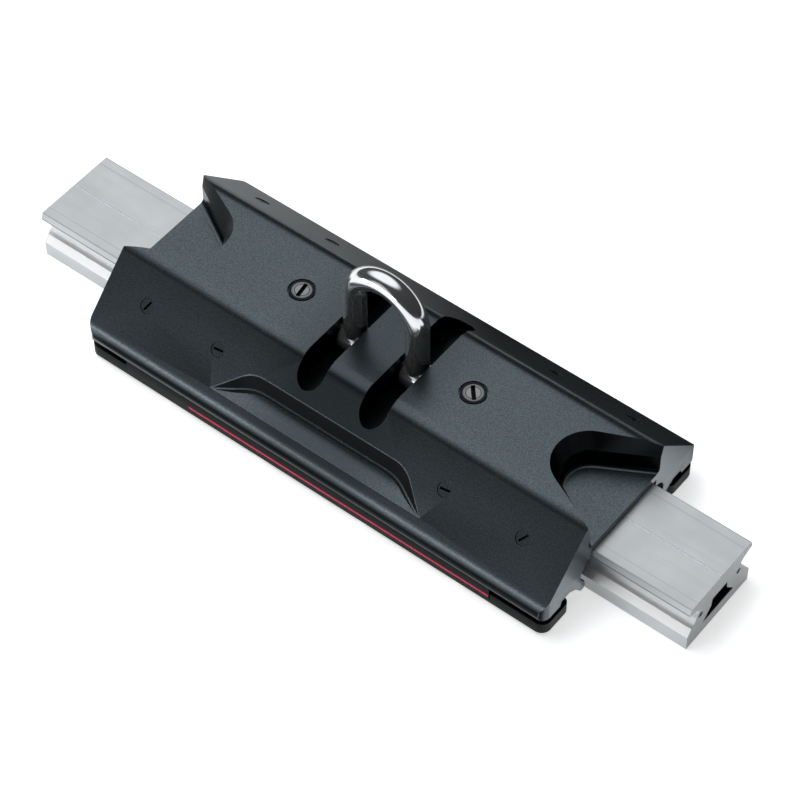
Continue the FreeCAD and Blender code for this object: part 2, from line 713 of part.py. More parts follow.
def make_car_body():
    """Machined block of the car."""
    body = new_body("car_extrusion")
    section = new_sketch(body, "car_section", "YZ_Plane")
    half = [
        ("shoulder_half", "car_top"),
        ("nose_corner_half", "nose_corner_height"),
        ("nose_foot", "wing_bottom"),
        ("wing_step_outer", "wing_bottom"),
        ("wing_step_inner", "wing_step_height"),
        ("leg_root", "wing_step_height"),
        ("leg_knee_half", "leg_knee_height"),
        ("leg_tip_outer", "leg_tip_height"),
        ("leg_tip_inner", "leg_tip_height"),
        ("leg_inner_half", "leg_inner_height"),
        ("groove_lip_half", "groove_lip_height"),
        ("channel_half", "ball_height + groove_mouth_rise"),
        ("channel_half", "channel_roof"),
    ]
    polygon(section, mirrored(half))
    pad(body, "car_run", section, "2 * car_half", middle=True)
    fillet(body, "nose_rounds", lengthwise_at("nose_corner_half", "nose_corner_height"), "nose_round")
    fillet(body, "shoulder_rounds", lengthwise_at("shoulder_half", "car_top"), "shoulder_round")

    grooves = new_sketch(body, "ball_groove_section", "YZ_Plane")
    for side in (FRONT, BACK):
        circle(grooves, "%d * ball_row" % side, "ball_height", "groove_round + groove_relief")
    pocket(body, "ball_grooves", grooves, "2 * car_half", middle=True)

    returns = new_sketch(body, "return_groove_section", "YZ_Plane")
    for side in (FRONT, BACK):
        circle(returns, "%d * return_row" % side, "ball_height", "groove_round")
    pocket(body, "return_grooves", returns, "2 * race_half", middle=True)

    for side, word in ((FRONT, "front"), (BACK, "back")):
        race = new_sketch(body, "race_seat_section_" + word, "YZ_Plane")
        polygon(race, race_outline(side))
        pocket(body, "race_seat_" + word, race, "2 * race_half", middle=True)
        for end, hand in ((-1, "left"), (1, "right")):
            lift = "%d * (race_half + guide_length / 2)" % end
            seat = new_sketch(body, "guide_seat_section_%s_%s" % (word, hand), "YZ_Plane", lift)
            corners = guide_outline(side, "seat_gap")
            foot = sided(side, [("guide_outer_half + seat_gap", "0"), ("channel_half", "0")])
            polygon(seat, corners[:-1] + foot)
            pocket(body, "guide_seat_%s_%s" % (word, hand), seat, "guide_length", middle=True)

    slots = new_sketch(body, "slot_straights", "XY_Plane", "car_top")
    for hand in (-1, 1):
        centre = "%d * slot_half_spacing" % hand
        rectangle(slots, centre + " - slot_round", "-slot_straight", centre + " + slot_round", "slot_straight")
    pocket(body, "slot_middles", slots, "car_top - slot_floor")
    rounds = new_sketch(body, "slot_end_circles", "XY_Plane", "car_top")
    for hand in (-1, 1):
        for side in (FRONT, BACK):
            circle(rounds, "%d * slot_half_spacing" % hand, "%d * slot_straight" % side, "slot_round")
    pocket(body, "slot_ends", rounds, "car_top - slot_floor")
    windows = new_sketch(body, "eye_window_outline", "XY_Plane", "slot_floor")
    for hand in (-1, 1):
        centre = "%d * slot_half_spacing" % hand
        rectangle(windows, centre + " - slot_round", "-eye_window_half",
                  centre + " + slot_round", "eye_window_half")
    pocket(body, "eye_windows", windows, "slot_floor - channel_roof")

    seat = new_sketch(body, "axle_seat_circle", "YZ_Plane")
    circle(seat, "0", "axle_height", "axle_size / 2 + running_gap")
    pocket(body, "axle_seat", seat, "2 * axle_half + 2 * fit_gap", middle=True)
    throat = new_sketch(body, "axle_throat_outline", "YZ_Plane")
    rectangle(throat, "-axle_size / 2 - running_gap", "channel_roof",
              "axle_size / 2 + running_gap", "axle_height")
    pocket(body, "axle_throat", throat, "2 * axle_half + 2 * fit_gap", middle=True)
    keeper = new_sketch(body, "keeper_seat_outline", "XY_Plane", "channel_roof")
    rectangle(keeper, "-keeper_half - fit_gap", "-keeper_half_width - fit_gap",
              "keeper_half + fit_gap", "keeper_half_width + fit_gap")
    pocket(body, "keeper_seat", keeper, "keeper_thickness + fit_gap", flipped=True)

    shanks = new_sketch(body, "keeper_screw_circles", "XY_Plane", "car_top")
    for hand in (-1, 1):
        circle(shanks, "%d * keeper_screw_half" % hand, "0", "keeper_shank / 2 + fit_gap")
    pocket(body, "keeper_screw_holes", shanks, "car_top - axle_height")
    cups = new_sketch(body, "cup_seat_circles", "XY_Plane", "car_top")
    for hand in (-1, 1):
        circle(cups, "%d * keeper_screw_half" % hand, "0", "cup_size / 2 + running_gap")
    pocket(body, "cup_seats", cups, "cup_height")
    rings = new_sketch(body, "cup_ring_circles", "XY_Plane", "car_top")
    for hand in (-1, 1):
        circle(rings, "%d * keeper_screw_half" % hand, "0", "cup_size / 2 + cup_ring_gap")
    pocket(body, "cup_rings", rings, "cup_ring_depth")

    taps = new_sketch(body, "cover_tap_circles", "XY_Plane", "wing_bottom")
    for side in (FRONT, BACK):
        for hand in (-1, 1):
            for reach in ("cover_screw_inner", "cover_screw_outer"):
                circle(taps, "%d * %s" % (hand, reach), "%d * cover_screw_row" % side,
                       "cover_shank / 2 + running_gap")
    depth = "cover_bottom + cover_screw_length - wing_bottom + cover_tap_extra"
    pocket(body, "cover_taps", taps, depth, flipped=True)

    tools = [make_end_recess(end) for end in ENDS]
    tools.append(make_scoop())
    for side, word in ((FRONT, "front"), (BACK, "back")):
        for number, x in enumerate(race_screw_stations()):
            half_y = "%d * race_screw_half" % side
            tools.append(rod("race_head_hole_%s_%d" % (word, number), "race_head / 2 + race_head_gap",
                             "race_head_height + race_head_sink", x, half_y, "race_screw_height",
                             turn_in(side)))
            tools.append(rod("race_shank_hole_%s_%d" % (word, number), "race_shank / 2 + running_gap",
                             "race_screw_length + race_head_sink", x, half_y, "race_screw_height",
                             turn_in(side)))
    block = document.addObject("Part::Common", "car_block")
    block.Base = body
    block.Tool = make_plan()
    return drilled("car_body", block, tools)


def turn_in(side):
    """Rotation that points a rod's axis into a slope."""
    return FreeCAD.Rotation(FreeCAD.Vector(0, 0, 1), FreeCAD.Vector(0, -side, -1))


def race_screw_stations():
    """Positions along the car of the four screws in a slope."""
    return ["-race_screw_outer", "-race_screw_inner", "race_screw_inner", "race_screw_outer"]


# Races and return guides: hardened inserts and end blocks that carry the balls.


def make_race(side, word):
    """Race insert with its ball groove and tapped holes."""
    label = "race_insert_" + word
    body = new_body(label)
    section = new_sketch(body, label + "_section", "YZ_Plane")
    polygon(section, race_outline(side))
    pad(body, label + "_run", section, "2 * race_half - 2 * fit_gap", middle=True)
    groove = new_sketch(body, label + "_groove_circle", "YZ_Plane")
    circle(groove, "%d * ball_row" % side, "ball_height", "groove_round")
    pocket(body, label + "_groove", groove, "2 * race_half", middle=True)
    tools = []
    for number, x in enumerate(("-race_screw_inner", "race_screw_inner")):
        tools.append(rod("%s_tap_%d" % (label, number), "race_shank / 2 + running_gap",
                         "race_screw_length + race_head_sink + fit_gap", x,
                         "%d * race_screw_half" % side, "race_screw_height", turn_in(side)))
    return drilled(label, body, tools)


def make_guide(side, word, end, hand):
    """Return guide that turns the balls round at one end of a run."""
    label = "return_guide_%s_%s" % (word, hand)
    body = new_body(label)
    section = new_sketch(body, label + "_section", "YZ_Plane",
                         "%d * (race_half + guide_length / 2)" % end)
    corners = guide_outline(side, "0")
    foot = sided(side, [
        ("leg_knee_half", "guide_bottom"),
        ("leg_tip_outer", "leg_tip_height"),
        ("leg_tip_inner", "leg_tip_height"),
        ("leg_inner_half", "leg_inner_height"),
        ("groove_lip_half", "groove_lip_height"),
        ("channel_half", "ball_height + groove_mouth_rise"),
    ])
    polygon(section, corners + foot)
    pad(body, label + "_run", section, "guide_length - 2 * fit_gap", middle=True)
    tools = []
    middle = ("%d * race_half" % end, "%d * turn_half" % side, "ball_height - groove_round")
    turn = document.addObject("Part::Cut", label + "_turn")
    turn.Base = rod(label + "_turn_rim", "turn_round + groove_round", "2 * groove_round", *middle)
    turn.Tool = rod(label + "_turn_hub", "turn_round - groove_round", "2 * groove_round", *middle)
    tools.append(turn)
    tools.append(rod(label + "_groove", "groove_round + groove_relief", "2 * guide_length",
                     "%d * (race_half + guide_length / 2) - guide_length" % end,
                     "%d * ball_row" % side, "ball_height",
                     FreeCAD.Rotation(FreeCAD.Vector(0, 1, 0), 90)))
    tools.append(rod(label + "_tap", "race_shank / 2 + running_gap",
                     "race_screw_length + race_head_sink + fit_gap",
                     "%d * race_screw_outer" % end, "%d * race_screw_half" % side,
                     "race_screw_height", turn_in(side)))
    return drilled(label, body, tools)


def make_balls(label, side, row, count):
    """A row of balls, spaced along the car."""
    balls = []
    for index in range(count):
        ball = document.addObject("Part::Sphere", "%s_%d" % (label, index))
        bind(ball, "Radius", "ball_size / 2")
        place(ball, "%r * ball_pitch" % (index - (count - 1) / 2), "%d * %s" % (side, row), "ball_height")
        balls.append(ball)
    return grouped(label, balls)


# Screws: turned shanks with slotted heads, made pointing down from their head's top.


def slotted_screw(name, profile, slot_length, slot_width, slot_depth):
    """Screw turned from a profile, with a slot in its head."""
    body = new_body(name)
    outline = new_sketch(body, name + "_profile", "XZ_Plane")
    polygon(outline, profile)
    turned = feature(body, "PartDesign::Revolution", name + "_turned", outline)
    turned.ReferenceAxis = (outline, ["V_Axis"])
    turned.Angle = 360
    slot = new_sketch(body, name + "_slot_outline", "XY_Plane")
    half_length = "(%s) / 2" % slot_length
    half_width = "(%s) / 2" % slot_width
    rectangle(slot, "-" + half_length, "-" + half_width, half_length, half_width)
    pocket(body, name + "_slot", slot, slot_depth)
    return body


def sunk_profile(head, rim, shank, length):
    """Half outline of a countersunk screw."""
    return [
        ("0", "0"),
        (head + " / 2", "0"),
        (head + " / 2", "-(%s)" % rim),
        (shank + " / 2", "-(%s) - (%s - %s) / 2" % (rim, head, shank)),
        (shank + " / 2", "-(%s)" % length),
        ("0", "-(%s)" % length),
    ]


def make_keeper_screws():
    """Two large screws that go through the axle into its keeper."""
    screws = []
    profile = sunk_profile("keeper_head", "keeper_rim", "keeper_shank", "keeper_length")
    for number, hand in enumerate((-1, 1)):
        screw = slotted_screw("keeper_screw_%d" % number, profile, "2 * keeper_head",
                              "keeper_slot_width", "keeper_slot_depth")
        place(screw, "%d * keeper_screw_half" % hand, "0", "car_top",
              FreeCAD.Rotation(FreeCAD.Vector(0, 0, 1), TURNS_KEEPER[number]))
        screws.append(screw)
    return grouped("keeper_screws", screws)


def make_cups():
    """Two cup washers under the large screw heads."""
    cups = []
    mouth = "keeper_head / 2 + running_gap"
    bore = "keeper_shank / 2 + fit_gap"
    profile = [
        (mouth, "0"),
        ("cup_size / 2", "0"),
        ("cup_size / 2", "-cup_height"),
        (bore, "-cup_height"),
        (bore, "-keeper_rim - (%s) + (%s)" % (mouth, bore)),
        (mouth, "-keeper_rim"),
    ]
    for number, hand in enumerate((-1, 1)):
        body = new_body("screw_cup_%d" % number)
        outline = new_sketch(body, "screw_cup_profile_%d" % number, "XZ_Plane")
        polygon(outline, profile)
        turned = feature(body, "PartDesign::Revolution", "screw_cup_turned_%d" % number, outline)
        turned.ReferenceAxis = (outline, ["V_Axis"])
        turned.Angle = 360
        place(body, "%d * keeper_screw_half" % hand, "0", "car_top")
        cups.append(body)
    return grouped("screw_cups", cups)


def make_race_screws(side, word, turns):
    """Four flush screws of one slope."""
    screws = []
    profile = [
        ("0", "0"),
        ("race_head / 2", "0"),
        ("race_head / 2", "-race_head_height"),
        ("race_shank / 2", "-race_head_height"),
        ("race_shank / 2", "-race_screw_length"),
        ("0", "-race_screw_length"),
    ]
    for number, x in enumerate(race_screw_stations()):
        screw = slotted_screw("race_screw_%s_%d" % (word, number), profile, "race_slot_length",
                              "race_slot_width", "race_slot_depth")
        spin = FreeCAD.Rotation(FreeCAD.Vector(0, 0, 1), turns[number])
        sunk = "race_head_sink / sqrt(2)"
        place(screw, x, "%d * (race_screw_half - %s)" % (side, sunk), "race_screw_height - " + sunk,
              turn_from_up(side).multiply(spin))
        screws.append(screw)
    return grouped("race_screws_" + word, screws)


def make_cover_screws(side, word):
    """Four countersunk screws that hold one cover up."""
    screws = []
    profile = sunk_profile("cover_head", "cover_rim", "cover_shank", "cover_screw_length")
    flip = FreeCAD.Rotation(FreeCAD.Vector(1, 0, 0), 180)
    stations = ["-cover_screw_outer", "-cover_screw_inner", "cover_screw_inner", "cover_screw_outer"]
    for number, x in enumerate(stations):
        screw = slotted_screw("cover_screw_%s_%d" % (word, number), profile, "2 * cover_head",
                              "race_slot_width", "race_slot_depth")
        place(screw, x, "%d * cover_screw_row" % side, "cover_bottom", flip)
        screws.append(screw)
    return grouped("cover_screws_" + word, screws)


# Shackle gear: polished bow on an axle that a keeper plate holds up in the body.


def make_shackle():
    """Bow with two eyes, bent from round bar."""
    body = new_body("shackle")
    spine = new_sketch(body, "shackle_spine", "XZ_Plane")
    reach = size("slot_half_spacing")
    low = size("axle_height")
    high = size("arch_height")
    left_low = FreeCAD.Vector(-reach, low, 0)
    left_high = FreeCAD.Vector(-reach, high, 0)
    crown = FreeCAD.Vector(0, high + reach, 0)
    right_high = FreeCAD.Vector(reach, high, 0)
    right_low = FreeCAD.Vector(reach, low, 0)
    spine.addGeometry(Part.LineSegment(left_low, left_high), False)
    spine.addGeometry(Part.Arc(left_high, crown, right_high), False)
    spine.addGeometry(Part.LineSegment(right_high, right_low), False)
    spine.addConstraint(Sketcher.Constraint("Coincident", 0, 2, 1, 2))
    spine.addConstraint(Sketcher.Constraint("Coincident", 1, 1, 2, 1))
    pin_point(spine, 0, 1, "-slot_half_spacing", "axle_height")
    pin_point(spine, 0, 2, "-slot_half_spacing", "arch_height")
    pin_point(spine, 2, 1, "slot_half_spacing", "arch_height")
    pin_point(spine, 2, 2, "slot_half_spacing", "axle_height")
    index = spine.addConstraint(Sketcher.Constraint("DistanceY", -1, 1, 1, 3, high))
    spine.renameConstraint(index, "Arch")
    bind(spine, "Constraints.Arch", "arch_height")
    bar = new_sketch(body, "shackle_bar_circle", "XY_Plane", "axle_height")
    circle(bar, "-slot_half_spacing", "0", "bar_size / 2")
    pipe = feature(body, "PartDesign::AdditivePipe", "shackle_bow", bar)
    pipe.Spine = spine
    pipe.Mode = "Standard"
    for hand in (-1, 1):
        eye = new_sketch(body, "eye_circle_%d" % (hand + 1), "YZ_Plane", "%d * slot_half_spacing" % hand)
        circle(eye, "0", "axle_height", "eye_size / 2")
        pad(body, "eye_%d" % (hand + 1), eye, "eye_width", middle=True)

    def eye_rim(edge):
        round_edge = edge.Curve.TypeId == "Part::GeomCircle"
        return round_edge and close(edge.Curve.Radius, "eye_size / 2")
    fillet(body, "eye_rounds", eye_rim, "eye_round")
    bore = new_sketch(body, "eye_bore_circle", "YZ_Plane")
    circle(bore, "0", "axle_height", "axle_size / 2 + running_gap")
    pocket(body, "eye_bores", bore, "4 * slot_half_spacing", middle=True)
    return body


def make_axle():
    """Shackle axle with cross holes for the keeper screws."""
    body = new_body("shackle_axle")
    section = new_sketch(body, "axle_circle", "YZ_Plane")
    circle(section, "0", "axle_height", "axle_size / 2")
    pad(body, "axle_run", section, "2 * axle_half", middle=True)

    def end_rim(edge):
        return edge.Curve.TypeId == "Part::GeomCircle"
    chamfer(body, "axle_ends", end_rim, "axle_chamfer")
    cross = new_sketch(body, "axle_cross_circles", "XY_Plane", "axle_height + axle_size")
    for hand in (-1, 1):
        circle(cross, "%d * keeper_screw_half" % hand, "0", "keeper_shank / 2 + fit_gap")
    pocket(body, "axle_cross_holes", cross, "2 * axle_size")
    return body


def make_keeper():
    """Keeper plate with three saddles under the axle."""
    body = new_body("axle_keeper")
    plate = new_sketch(body, "keeper_outline", "XY_Plane", "channel_roof")
    rectangle(plate, "-keeper_half", "-keeper_half_width", "keeper_half", "keeper_half_width")
    pad(body, "keeper_plate", plate, "keeper_thickness")

    def corner(edge):
        return runs_along(edge, 2)
    fillet(body, "keeper_corners", corner, "keeper_round")
    blocks = new_sketch(body, "saddle_outline", "XY_Plane", "channel_roof + keeper_thickness")
    rectangle(blocks, "-saddle_middle_half", "-axle_size / 2", "saddle_middle_half", "axle_size / 2")
    rectangle(blocks, "saddle_inner", "-axle_size / 2", "axle_half", "axle_size / 2")
    rectangle(blocks, "-axle_half", "-axle_size / 2", "-saddle_inner", "axle_size / 2")
    pad(body, "saddles", blocks, "axle_height - saddle_drop - channel_roof - keeper_thickness")
    seat = new_sketch(body, "saddle_circle", "YZ_Plane")
    circle(seat, "0", "axle_height", "axle_size / 2 + running_gap")
    pocket(body, "saddle_seats", seat, "2 * keeper_half", middle=True)
    taps = new_sketch(body, "keeper_tap_circles", "XY_Plane", "axle_height")
    for hand in (-1, 1):
        circle(taps, "%d * keeper_screw_half" % hand, "0", "keeper_shank / 2 + running_gap")
    pocket(body, "keeper_taps", taps, "axle_height")
    return body


# Covers and trim: bars under the wings, closed up to them over the return runs.


def make_cover(side, word):
    """Bar under one wing, with the raised land that closes its return run."""
    label = "cover_" + word
    body = new_body(label)
    half = "car_half - cover_end_gap"
    bar = new_sketch(body, label + "_outline", "XY_Plane", "cover_bottom")
    low, high = sorted(("%d * cover_inner" % side, "%d * cover_outer" % side), key=size)
    rectangle(bar, "-(%s)" % half, low, half, high)
    pad(body, label + "_bar", bar, "cover_top - cover_bottom")

    def corner_at(reach):
        def test(edge):
            return runs_along(edge, 2) and close(abs(edge.CenterOfMass.y), reach)
        return test
    fillet(body, label + "_outer_corners", corner_at("cover_outer"), "cover_corner_outer")
    fillet(body, label + "_inner_corners", corner_at("cover_inner"), "cover_corner_inner")
    land = new_sketch(body, label + "_land_outline", "XY_Plane", "cover_top")
    corners = [
        ("-land_left", "strip_inner"),
        ("-land_left", "land_step"),
        ("-race_half + fit_gap", "land_step"),
        ("-race_half + fit_gap", "land_inner"),
        ("race_half - fit_gap", "land_inner"),
        ("race_half - fit_gap", "land_step"),
        ("land_right", "land_step"),
        ("land_right", "strip_inner"),
    ]
    polygon(land, [(x, "%d * (%s)" % (side, y)) for x, y in corners])
    pad(body, label + "_land", land, "wing_bottom - cover_top")
    run = new_sketch(body, label + "_run_circle", "YZ_Plane")
    circle(run, "%d * return_row" % side, "ball_height", "groove_round")
    pocket(body, label + "_run", run, "2 * race_half", middle=True)
    rebate = new_sketch(body, label + "_rebate_outline", "XY_Plane", "strip_bottom - seat_gap")
    low, high = sorted(("%d * strip_inner" % side, "%d * (cover_outer + rebate_overrun)" % side), key=size)
    rectangle(rebate, "-land_left - seat_gap", low, "land_right + seat_gap", high)
    pocket(body, label + "_rebate", rebate, "wing_bottom", flipped=True)
    holes = new_sketch(body, label + "_screw_circles", "XY_Plane", "cover_bottom")
    for hand in (-1, 1):
        for reach in ("cover_screw_inner", "cover_screw_outer"):
            circle(holes, "%d * %s" % (hand, reach), "%d * cover_screw_row" % side,
                   "cover_shank / 2 + running_gap")
    pocket(body, label + "_screw_holes", holes, "wing_bottom", flipped=True)

    def mouth(edge):
        rim = edge.Curve.TypeId == "Part::GeomCircle" and close(edge.CenterOfMass.z, "cover_bottom")
        return rim and close(edge.Curve.Radius, "cover_shank / 2 + running_gap")
    chamfer(body, label + "_sinks", mouth, "(cover_head - cover_shank) / 2 + cover_rim")
    return body


def make_strip(side, word):
    """Bare trim strip on the outer face of one cover."""
    label = "trim_strip_" + word
    body = new_body(label)
    outline = new_sketch(body, label + "_outline", "XY_Plane", "strip_bottom")
    low, high = sorted(("%d * strip_inner" % side, "%d * strip_outer" % side), key=size)
    rectangle(outline, "-land_left", low, "land_right", high)
    pad(body, label + "_bar", outline, "strip_top - strip_bottom")

    def outer_edge(edge):
        return runs_along(edge, 0) and close(abs(edge.CenterOfMass.y), "strip_outer")
    fillet(body, label + "_rounds", outer_edge, "strip_round")
    return body


SUB_PARTS = [
    make_track(),
    make_car_body(),
    make_shackle(),
    make_axle(),
    make_keeper(),
    make_keeper_screws(),
    make_cups(),
]
for the_side, the_word, the_turns in ((FRONT, "front", TURNS_FRONT), (BACK, "back", TURNS_BACK)):
    SUB_PARTS.append(make_race(the_side, the_word))
    SUB_PARTS.append(make_race_screws(the_side, the_word, the_turns))
    SUB_PARTS.append(make_balls("load_balls_" + the_word, the_side, "ball_row", LOAD_BALLS))
    SUB_PARTS.append(make_balls("return_balls_" + the_word, the_side, "return_row", RETURN_BALLS))
    for the_end, the_hand in ((-1, "left"), (1, "right")):
        SUB_PARTS.append(make_guide(the_side, the_word, the_end, the_hand))
    SUB_PARTS.append(make_cover(the_side, the_word))
    SUB_PARTS.append(make_cover_screws(the_side, the_word))
    SUB_PARTS.append(make_strip(the_side, the_word))

document.recompute()

for item in document.Objects:
    if "Invalid" in item.State or "Error" in item.State:
        raise ValueError(item.Label + " has the state " + ", ".join(item.State))

for sub_part in SUB_PARTS:
    shape = sub_part.Shape
    if shape.isNull() or not shape.isValid():
        raise ValueError(sub_part.Label + " has no valid shape")
    shape.exportStep("parts/" + sub_part.Label + ".step")
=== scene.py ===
import json
import math
from collections import namedtuple

import bmesh
import bpy
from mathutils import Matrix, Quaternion, Vector


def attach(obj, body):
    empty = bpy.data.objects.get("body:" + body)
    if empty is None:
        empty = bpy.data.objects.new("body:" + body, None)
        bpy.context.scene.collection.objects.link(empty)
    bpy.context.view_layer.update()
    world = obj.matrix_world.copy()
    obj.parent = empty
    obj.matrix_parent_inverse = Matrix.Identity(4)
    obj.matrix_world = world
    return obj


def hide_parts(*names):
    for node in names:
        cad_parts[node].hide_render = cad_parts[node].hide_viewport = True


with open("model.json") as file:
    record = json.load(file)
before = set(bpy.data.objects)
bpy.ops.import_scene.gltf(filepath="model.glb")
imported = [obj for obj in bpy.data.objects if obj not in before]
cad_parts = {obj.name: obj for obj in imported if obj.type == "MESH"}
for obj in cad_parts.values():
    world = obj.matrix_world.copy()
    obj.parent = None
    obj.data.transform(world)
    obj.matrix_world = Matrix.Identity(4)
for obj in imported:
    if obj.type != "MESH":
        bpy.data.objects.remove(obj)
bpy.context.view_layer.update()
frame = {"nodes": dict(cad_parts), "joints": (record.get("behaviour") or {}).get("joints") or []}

bl_info = {
    "name": "Traveller Car Finish",
    "version": (1, 0, 0),
    "blender": (4, 5, 0),
    "location": "3D View > Sidebar > Traveller",
    "description": "Finishes a mainsheet traveller car on its track and lights it for a studio view",
    "category": "Object",
}

MM = 0.001
SIDES = ("front", "back")
HINGE = next(joint for joint in frame["joints"] if joint["name"] == "shackle_swing")

# Places on the block that its finish depends on, in millimetres. A point's sum is its distance from
# the middle plane plus its height, which is the same all over a slope, and its sink is how far its
# sum falls short of the slope's.
BLOCK_PLACES = {
    "Slot spacing": 16.5,
    "Slot half width": 6.65,
    "Slot reach": 35.65,
    "Slot top": 47.9,
    "Slope sum": 72.92,
    "Least sink": 0.3,
    "Ledge sink": 2.4,
    "Scoop foot": 26.2,
    "Scoop half length": 56.5,
    "Scoop side": -20.0,
    "Recess start": 62.0,
    "Recess half width": 27.5,
    "Recess wall foot": 31.4,
    "Recess rim foot": 30.0,
    "End start": 122.7,
    "Shade full": 12.0,
    "Shade end": 48.0,
}

# A face is a wall of the scoop where it leans down the slope by more than the first share, and a
# wall of a recess where it faces up by less than the second.
DOWN_SLOPE = (0.0, -math.sqrt(0.5), -math.sqrt(0.5))
WALL_LEAN = 0.15
WALL_RISE = 0.7

# How much lighter or darker each place on the block is than its finish. The scoop's walls,
# the recess walls and the slots are painted shade, and the ends are lighter.
PLACE_TONES = (("Walls", 0.06), ("Recess walls", 0.12), ("Slots", 0.12), ("Ends", 1.8))
SHADE_STRENGTH = 0.65
SHADE_TONE = 0.5
# Broken edges are painted lighter as a highlight; on the ledge they are painted nearly the finish's own
# tone.
OPEN_EDGE_TONE = 3.5
LEDGE_EDGE_TONE = 1.1
# Round the recesses the broken edges are painted dark as a shade line.
RECESS_EDGE_TONE = 0.08

# The block's broken edges go to a finish slot of their own, which then becomes an attribute.
BLOCK_METAL = 0.93
EDGE_METAL_LOSS = 0.5
EDGE_ATTRIBUTE = "edge"
EDGE_SLOT = 1

# Edges that turn by more than these degrees stay crisp, and points this near are one point.
BLOCK_CREASE = 20
BOW_CREASE = 40
MERGE_GAP = 2e-6

# Stretches of the track's section that are lighter or darker: from an inner to an outer distance
# from the middle plane and from a low to a high height, in millimetres, with their share of the
# aluminium's own tone. They stop short of the sawn ends.
Band = namedtuple("Band", "inner outer low high tone")
# The bolt chamber is painted shade, the flank over the foot is painted lighter where light falls on it,
# and under the lip is a painted shadow line.
BOLT_CHAMBER = Band(-1.0, 11.2, 6.0, 16.7, 0.06)
LOW_FLANK = Band(13.0, 22.3, 7.6, 12.8, 1.75)
HIGH_FLANK = Band(13.0, 22.3, 12.8, 15.5, 1.2)
UNDER_LIP = Band(20.6, 22.4, 22.2, 23.5, 0.4)
# Thin darker lines along the top, near the lip's edge and further in, and a lighter one along the
# middle.
OUTER_TOP_LINE = Band(20.9, 21.6, 26.1, 26.6, 0.7)
INNER_TOP_LINE = Band(16.6, 17.2, 26.4, 26.6, 0.86)
CENTRE_LINE = Band(-1.0, 0.4, 26.0, 26.45, 1.5)
TRACK_BANDS = (
    BOLT_CHAMBER, LOW_FLANK, HIGH_FLANK, UNDER_LIP, OUTER_TOP_LINE, INNER_TOP_LINE, CENTRE_LINE)
SAWN_DEPTH = 0.05 * MM
BAND_STOP = 0.2 * MM

# The line on the front trim strip, and the strip's darker foot.
LINE_LOW, LINE_HIGH = 5.6 * MM, 6.8 * MM
LINE_LEFT, LINE_RIGHT = -65.8 * MM, 94.7 * MM
STRIP_FOOT = 5.5 * MM

# The large screws stand this far from the middle. Below these levels, inside its slot, a screw is
# painted black as the slot's shade. The level of a slope's screws is a sum.
KEEPER_SCREW_PLACE = 45.55 * MM
KEEPER_SLOT_TOP = 47.95 * MM
SLOPE_SLOT_TOP = 72.1 * MM
SLOT_SHADE = (0.004, 0.005, 0.006)

# Steps along the bow, round its bar and round its eyes, and the shape of an eye's edges.
BOW_STEPS = 140
BAR_STEPS = 48
EYE_STEPS = 64
EYE_ROUNDING = 1.5 * MM
EYE_ROUNDING_STEPS = 6
BORE_CHAMFER_SHARE = 0.3

# The camera as solved from the photograph, whose width and focal length are in pixels.
PHOTO_WIDTH = 800.0
PHOTO_FOCAL_LENGTH = 2920.793
SENSOR_WIDTH = 36.0
CAMERA_PLACE = (0.48955, -0.611184, 0.983251)
CAMERA_TURN = (0.892049, 0.31326, 0.109801, 0.306692)

# The studio.
FLOOR_REACH = 8.0
LIGHT_AIM = (0.0, 0.0, 0.03)
ROOM_LEVEL = 0.02


class TravellerSizes(bpy.types.PropertyGroup):
    """Sizes of what is made here"""

    edge_break: bpy.props.FloatProperty(
        name="Edge break",
        description="Width of the small bevel on the block's machined edges",
        default=0.00035, subtype="DISTANCE", unit="LENGTH")
    bar_radius: bpy.props.FloatProperty(
        name="Bow bar radius",
        description="Radius of the round bar the bow is bent from",
        default=0.00525, subtype="DISTANCE", unit="LENGTH")
    bow_radius: bpy.props.FloatProperty(
        name="Bow bend radius",
        description="Radius of the bow's bend at the bar's middle line",
        default=0.0165, subtype="DISTANCE", unit="LENGTH")
    leg_length: bpy.props.FloatProperty(
        name="Bow leg length",
        description="Straight length from the axle to the start of the bend",
        default=0.030, subtype="DISTANCE", unit="LENGTH")
    axle_height: bpy.props.FloatProperty(
        name="Axle height",
        description="Height of the axle over the deck",
        default=HINGE["pos_m"][2], subtype="DISTANCE", unit="LENGTH")
    eye_radius: bpy.props.FloatProperty(
        name="Eye radius",
        description="Outer radius of the bow's eyes",
        default=0.007, subtype="DISTANCE", unit="LENGTH")
    eye_width: bpy.props.FloatProperty(
        name="Eye width",
        description="Width of each eye along the axle",
        default=0.0116, subtype="DISTANCE", unit="LENGTH")
    eye_bore: bpy.props.FloatProperty(
        name="Eye bore",
        description="Radius of the hole through each eye",
        default=0.00455, subtype="DISTANCE", unit="LENGTH")


